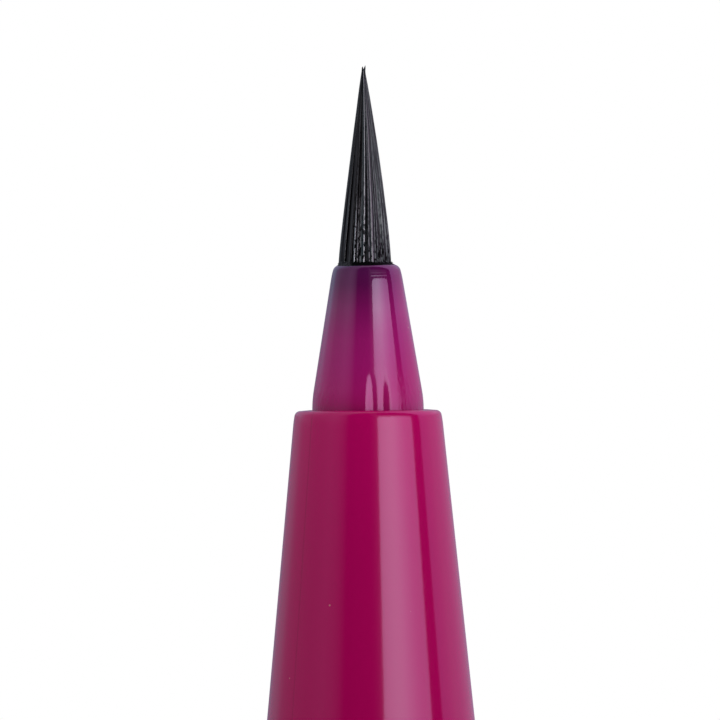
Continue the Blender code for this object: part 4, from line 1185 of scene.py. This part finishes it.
def wet_hair():
    """Black nylon hairs under a film of ink.

    They are smooth at the left and cracked near the root. Light and shade are painted into their colour: a
    grey tone at the far left, pale streaks towards the right, pale glints and a bluish cast on the wetter
    hairs, and black in the gaps, at the root and in a band left of the middle.
    """
    finish, tree, shader, place = new_finish("inked_hair")
    spot, share, depth, beside = along_hairs(tree, place)
    # Wetness of each hair: it sets the ink film and also a painted glint and a painted bluish cast in the
    # colour.
    wet = add_node(tree, "ShaderNodeAttribute", attribute_name="wetness_and_glint").outputs["Fac"]
    lines = noise_at(tree, spot, HAIR_LINE_SCALE)
    cracks = minus(tree, noise_at(tree, spot, HAIR_CRACK_SCALE), times(tree, beside, HAIR_CRACKS_LEAN))
    # Painted shade: the deeper hairs go black.
    painted_gap_shade = spread(tree, depth, *HAIR_PAINTED_GAP_SHADE_DEPTH)
    calm = spread(tree, share, *HAIR_CALM_UP)
    calm = math_node(tree, "MAXIMUM", calm, spread(tree, beside, *HAIR_CALM_ACROSS))
    crackle = times(tree, spread(tree, share, *HAIR_CRACKS_UP), spread(tree, beside, *HAIR_CRACKS_ACROSS))
    crackle = times(tree, crackle, calm)
    torn = times(tree, spread(tree, cracks, *HAIR_TORN), crackle)
    # Painted shade: a black ring at the root.
    foot = spread(tree, share, *HAIR_PAINTED_ROOT_SHADE_UP)
    # Painted shade: a dark band left of the middle.
    from_dark_band = math_node(tree, "ABSOLUTE", plus(tree, beside, HAIR_PAINTED_BAND_LEFT))
    painted_dark_band = times(tree, spread(tree, from_dark_band, *HAIR_PAINTED_BAND_ACROSS), spread(tree, share, *HAIR_PAINTED_BAND_UP))
    # Whole film and colour, less the torn cracks and the painted shade.
    whole = times(tree, minus(tree, 1.0, torn), painted_gap_shade, foot, minus(tree, 1.0, painted_dark_band))
    film = times(tree, whole, wet, spread(tree, lines, *HAIR_FILM_LINES))
    film = times(tree, film, spread(tree, beside, *HAIR_FILM_ACROSS), spread(tree, share, *HAIR_FILM_UP))
    feed(shader, "Coat Weight", film)
    # Painted light: paler streaks towards the right.
    painted_paleness = times(tree, whole, spread(tree, beside, *HAIR_PAINTED_PALE_ACROSS), spread(tree, lines, *HAIR_PAINTED_PALE_LINES))
    painted_paleness = times(tree, painted_paleness, spread(tree, share, *HAIR_PAINTED_PALE_UP))
    # Painted highlight: pale glints on the wettest hairs.
    painted_glint = times(tree, whole, wet, HAIR_PAINTED_GLINT)
    # Painted light: a grey tone at the far left.
    smooth = times(tree, spread(tree, beside, *HAIR_PAINTED_LEFT_ACROSS), painted_gap_shade)
    smooth = times(tree, smooth, spread(tree, lines, *HAIR_PAINTED_LEFT_LINES))
    # All the painted paleness: streaks, glints and the left tone.
    painted_paleness = math_node(tree, "MAXIMUM", painted_paleness, math_node(tree, "MAXIMUM", painted_glint, smooth))
    # Painted reflection: a bluish cast on the wet hairs.
    painted_cool_cast = times(tree, whole, spread(tree, wet, *HAIR_PAINTED_COOL_WET), spread(tree, beside, *HAIR_PAINTED_COOL_ACROSS))
    shade = blend_colour(tree, painted_cool_cast, colour_ramp(tree, painted_paleness, HAIR_PAINTED_TONES), HAIR_PAINTED_COOL_CAST)
    feed(shader, "Base Color", shade)
    feed(shader, "Roughness", spread(tree, lines, *HAIR_ROUGHNESS_LINES))
    relief = plus(tree, times(tree, cracks, crackle), times(tree, lines, HAIR_LINES_RELIEF))
    link_bump(tree, shader, relief, HAIR_RELIEF)
    set_inputs(shader, IOR=1.08, Coat_IOR=1.85, Coat_Roughness=0.09, Coat_Tint=(0.90, 0.94, 1.0, 1.0))
    return finish


def grained(name, scale, detail, stops, roughness, relief, metallic=0.0):
    """A finish whose colour and roughness follow one fine grain."""
    finish, tree, shader, place = new_finish(name)
    grain = noise_at(tree, place, scale, detail)
    feed(shader, "Base Color", colour_ramp(tree, grain, stops))
    feed(shader, "Roughness", spread(tree, grain, 0.3, 0.7, *roughness))
    link_bump(tree, shader, grain, relief)
    set_inputs(shader, Metallic=metallic)
    return finish


def ink_fibre():
    """Bonded fibre, with its fibres along the rod."""
    return grained("inked_fibre", FIBRE_SCALE, 3.0, FIBRE_COLOURS, (0.6, 0.95), FIBRE_RELIEF)


def seal_rubber():
    return grained("black_seal_rubber", RUBBER_SCALE, 4.0, RUBBER_COLOURS, (0.55, 0.8), RUBBER_RELIEF)


def steel(name, scale, roughness):
    """Bright steel with fine drawn or polished lines."""
    return grained(name, scale, 3.0, STEEL_COLOURS, roughness, STEEL_RELIEF, metallic=1.0)


def finish_node(node, finish):
    """Gives a node of the frame its finish."""
    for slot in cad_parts[node].material_slots:
        slot.material = finish


# Floor, cards, lamps and camera


def plain_material(name):
    finish = bpy.data.materials.new(name)
    finish.use_nodes = True
    tree = finish.node_tree
    tree.nodes.clear()
    return finish, tree, add_node(tree, "ShaderNodeOutputMaterial")


def make_floor():
    """A pale floor that takes the pen's shadow and that the camera sees fade to white far off."""
    finish, tree, output = plain_material("studio_floor")
    near = set_inputs(add_node(tree, "ShaderNodeBsdfDiffuse"), Color=(*grey(FLOOR_GREY), 1.0))
    far = set_inputs(add_node(tree, "ShaderNodeEmission"), Color=(1.0, 1.0, 1.0, 1.0), Strength=1.0)
    fade = spread(tree, length_of(tree, object_place(tree)), *FLOOR_FADE)
    seen = add_node(tree, "ShaderNodeLightPath").outputs["Is Camera Ray"]
    mix = add_node(tree, "ShaderNodeMixShader")
    for index, value in enumerate((times(tree, fade, seen), near.outputs[0], far.outputs[0])):
        feed(mix, index, value)
    feed(output, "Surface", mix.outputs[0])
    shape = bmesh.new()
    bmesh.ops.create_circle(shape, cap_ends=True, segments=FLOOR_SIDES, radius=FLOOR_RADIUS)
    add_piece("studio_floor", shape, finish)


def height_at(elevation):
    """Level on the cards that the pen's front sees at an elevation in degrees."""
    return NOSE_TIP_Z + CARD_RADIUS * math.tan(math.radians(elevation))


def card_glow(name, stops, upward, box_top):
    """A card's glow, which changes round the pen and upwards, and stops short at a softbox's corners."""
    finish, tree, output = plain_material(name)
    x, y, z = split_up(tree, object_place(tree))
    azimuth = math_node(tree, "ARCTAN2", x, times(tree, y, -1.0))
    start, end = stops[0][0], stops[-1][0]
    share = spread(tree, azimuth, math.radians(start), math.radians(end))
    top = max(max(colour) for _, colour in stops)
    marks = [((at - start) / (end - start), tuple(part / top for part in colour)) for at, colour in stops]
    glow = add_node(tree, "ShaderNodeEmission")
    feed(glow, "Color", colour_ramp(tree, share, marks))
    most = max(level for _, level in upward)
    rise = minus(tree, z, NOSE_TIP_Z)
    if box_top:
        rise = math_node(tree, "DIVIDE", rise, math_node(tree, "COSINE", times(tree, azimuth, 0.5)))
    low, high = (height_at(upward[index][0]) - NOSE_TIP_Z for index in (0, -1))
    steps = [((height_at(at) - NOSE_TIP_Z - low) / (high - low), level / most) for at, level in upward]
    strength = times(tree, grey_ramp(tree, spread(tree, rise, low, high), steps), top * most)
    if box_top:
        across = math_node(tree, "ABSOLUTE", minus(tree, times(tree, share, 2.0), 1.0))
        corner_z = height_at(box_top) - NOSE_TIP_Z
        tall = spread(tree, rise, BOX_CORNER_FROM * corner_z, corner_z)
        rounding = plus(
            tree,
            math_node(tree, "POWER", across, BOX_CORNER_ACROSS_POWER),
            math_node(tree, "POWER", tall, BOX_CORNER_UP_POWER),
        )
        inside = spread(tree, rounding, *BOX_CORNER_EDGE)
        above = math_node(tree, "GREATER_THAN", rise, corner_z)
        strength = times(tree, strength, math_node(tree, "MAXIMUM", inside, above))
    feed(glow, "Strength", strength)
    feed(output, "Surface", glow.outputs[0])
    return finish


def add_card(name, stops, upward=EVEN_GLOW, box_top=None):
    """A curved card round the pen that only its gloss sees.

    The stops are (degrees round the pen, glow), and upward is (elevation, share of that glow). A box top
    is the elevation of a softbox's upper edge, which is level as the pen shows it, with round corners.
    """
    start, end = stops[0][0], stops[-1][0]
    shape = bmesh.new()
    spot = Vector((math.sin(math.radians(start)), -math.cos(math.radians(start)), 0.0)) * CARD_RADIUS
    levels = [height_at(elevation) for elevation in CARD_ENDS]
    ends = [shape.verts.new(spot + Vector((0.0, 0.0, level))) for level in levels]
    spin_round(shape, ends + [shape.edges.new(ends)], math.radians(end - start), CARD_STEPS)
    card = add_piece(name, shape, card_glow(name, stops, upward, box_top))
    for ray in ("camera", "diffuse", "transmission", "volume_scatter", "shadow"):
        setattr(card, f"visible_{ray}", False)


def make_cards():
    black = grey(0.0)
    near_black = grey(0.001)
    rear_left = [
        (-180, (0.20, 0.17, 0.28)),
        (-148, (0.27, 0.33, 0.44)),
        (-132, (0.28, 0.44, 0.54)),
        (-119, (0.29, 0.34, 0.42)),
        (-98, (0.34, 0.38, 0.40)),
    ]
    add_card("rear_left_wall", rear_left, [(4.5, 1.0), (8, 1.55), (40, 1.8)])
    left = [
        (-98, (0.34, 0.38, 0.40)),
        (-75, (0.38, 0.40, 0.42)),
        (-57, (0.50, 0.50, 0.54)),
        (-46, (0.42, 0.42, 0.46)),
        (-38, (0.24, 0.25, 0.27)),
        (-30, black),
    ]
    add_card("left_grey_card", left, [(9, 1.0), (16, 1.5), (40, 1.6)])
    glow_beside_box = [(-30, black), (2, near_black), (8, grey(0.10)), (14.4, grey(0.42))]
    add_card("black_flag_by_camera", glow_beside_box)
    box = [
        (14.4, (3.9, 3.7, 4.0)),
        (20, (4.6, 4.4, 4.8)),
        (26, (4.9, 4.8, 5.2)),
        (31, (5.1, 5.1, 5.4)),
        (39, (5.1, 4.8, 5.3)),
        (45, (4.7, 4.0, 4.8)),
        (51, (4.2, 3.3, 4.2)),
        (57, (3.8, 2.6, 3.7)),
        (65, (3.3, 2.15, 3.2)),
        (72, (3.0, 2.2, 3.1)),
    ]
    bars = [(15, 1.0), (BOX_TOP, 1.0), (20.9, 0.02), (22.4, 0.02), (22.9, 0.66), (23.7, 0.66), (24.2, 0.02)]
    bars += [(26.4, 0.04), (26.9, 0.20), (28.2, 0.20), (29, 0.07), (36, 0.07), (38, 0.0)]
    add_card("softbox_wall", box, bars, box_top=BOX_TOP)
    add_card("black_flag_right", [(72, black), (87, near_black)])
    right = [
        (87, (1.15, 0.66, 1.32)),
        (101, (1.15, 0.64, 1.22)),
        (110, (1.12, 0.68, 1.18)),
        (121, (0.95, 0.56, 1.02)),
        (134, (0.80, 0.50, 0.86)),
        (151, (0.52, 0.42, 0.66)),
        (180, (0.30, 0.24, 0.38)),
    ]
    add_card("right_wall", right, [(10, 1.0), (20, 1.5), (40, 1.6)])


def add_lamp(name, azimuth, elevation, distance, size, power):
    light = bpy.data.lights.new(name, "AREA")
    light.shape = "SQUARE"
    light.size = size
    light.energy = power
    lamp = bpy.data.objects.new(name, light)
    turn = math.radians(azimuth)
    rise = math.radians(elevation)
    towards = Vector((math.sin(turn) * math.cos(rise), -math.cos(turn) * math.cos(rise), math.sin(rise)))
    lamp.location = Vector((0.0, 0.0, NOSE_TIP_Z)) + towards * distance
    lamp.rotation_euler = towards.to_track_quat("Z", "Y").to_euler()
    lamp.visible_camera = False
    lamp.visible_glossy = False
    bpy.context.scene.collection.objects.link(lamp)


def make_world():
    """White to the camera, to gloss and to clear plastic, and softer as light."""
    world = bpy.data.worlds.new("white_studio")
    bpy.context.scene.world = world
    world.use_nodes = True
    tree = world.node_tree
    sky = set_inputs(tree.nodes["Background"], Color=(1.0, 1.0, 1.0, 1.0))
    path = add_node(tree, "ShaderNodeLightPath")
    seen = math_node(tree, "MAXIMUM", path.outputs["Is Camera Ray"], path.outputs["Is Glossy Ray"])
    seen = math_node(tree, "MAXIMUM", seen, path.outputs["Is Transmission Ray"])
    feed(sky, "Strength", spread(tree, seen, 0.0, 1.0, WORLD_LIGHT, 1.0))


def make_camera():
    right = Vector((math.cos(VIEW_TURN), 0.0, -math.sin(VIEW_TURN)))
    up = Vector((math.sin(VIEW_TURN), 0.0, math.cos(VIEW_TURN)))
    back = Vector((0.0, -1.0, 0.0))
    middle = Vector((0.0, 0.0, NOSE_TIP_Z - VIEW_BELOW_NOSE_TIP)) - right * VIEW_SIDE_STEP
    lens = bpy.data.cameras.new("camera")
    lens.sensor_width = SENSOR_WIDTH
    lens.lens = SENSOR_WIDTH * VIEW_DISTANCE * PIXELS_A_METRE / PICTURE_SIDE
    lens.clip_start = VIEW_DISTANCE / 10
    lens.clip_end = VIEW_DISTANCE * 100
    camera = bpy.data.objects.new("camera", lens)
    turned = Matrix((right, up, back)).transposed().to_4x4()
    camera.matrix_world = Matrix.Translation(middle + back * VIEW_DISTANCE) @ turned
    bpy.context.scene.collection.objects.link(camera)
    bpy.context.scene.camera = camera


def dress_pen():
    fade_z = SECTION_FRONT_Z - SHELL_FADE_LENGTH
    shell = gloss_plastic("magenta_shell", fade_z, SECTION_FRONT_Z, SHELL_COLOURS, SHELL_TINT, roughness=0.10)
    # The nose's slant paints light: its paler colours reach higher on its right side.
    nose = gloss_plastic(
        "nose_shell",
        SECTION_FRONT_Z,
        NOSE_TIP_Z,
        NOSE_COLOURS,
        NOSE_TINT,
        roughness=0.08,
        painted_light_slant=0.8,
        seam=False,
        unevenness=0.05,
    )
    wear_foot(nose)
    add_wet_sheen(nose)
    natural = moulded_plastic("natural_moulding", NATURAL_COLOURS, roughness=0.34)
    soft = moulded_plastic("soft_white_moulding", SOFT_WHITE_COLOURS, roughness=0.42)
    make_cap(shell)
    make_barrel(shell)
    make_tail_post(shell)
    make_front_section(shell)
    make_nose_cone(nose)
    make_brush(wet_hair())
    make_ball(steel("polished_ball", BALL_SCALE, (0.05, 0.12)))
    finish_node("inner_cap", soft)
    finish_node("tail_stopper", soft)
    finish_node("brush_sleeve", natural)
    finish_node("collector", natural)
    finish_node("feed_rod", ink_fibre())
    finish_node("collector_seal", seal_rubber())
    make_spring(steel("drawn_wire", WIRE_SCALE, (0.22, 0.38)))


dress_pen()
make_floor()
make_cards()
make_world()
for lamp in LAMPS:
    add_lamp(*lamp)
make_camera()
bpy.context.scene.view_settings.view_transform = "Standard"
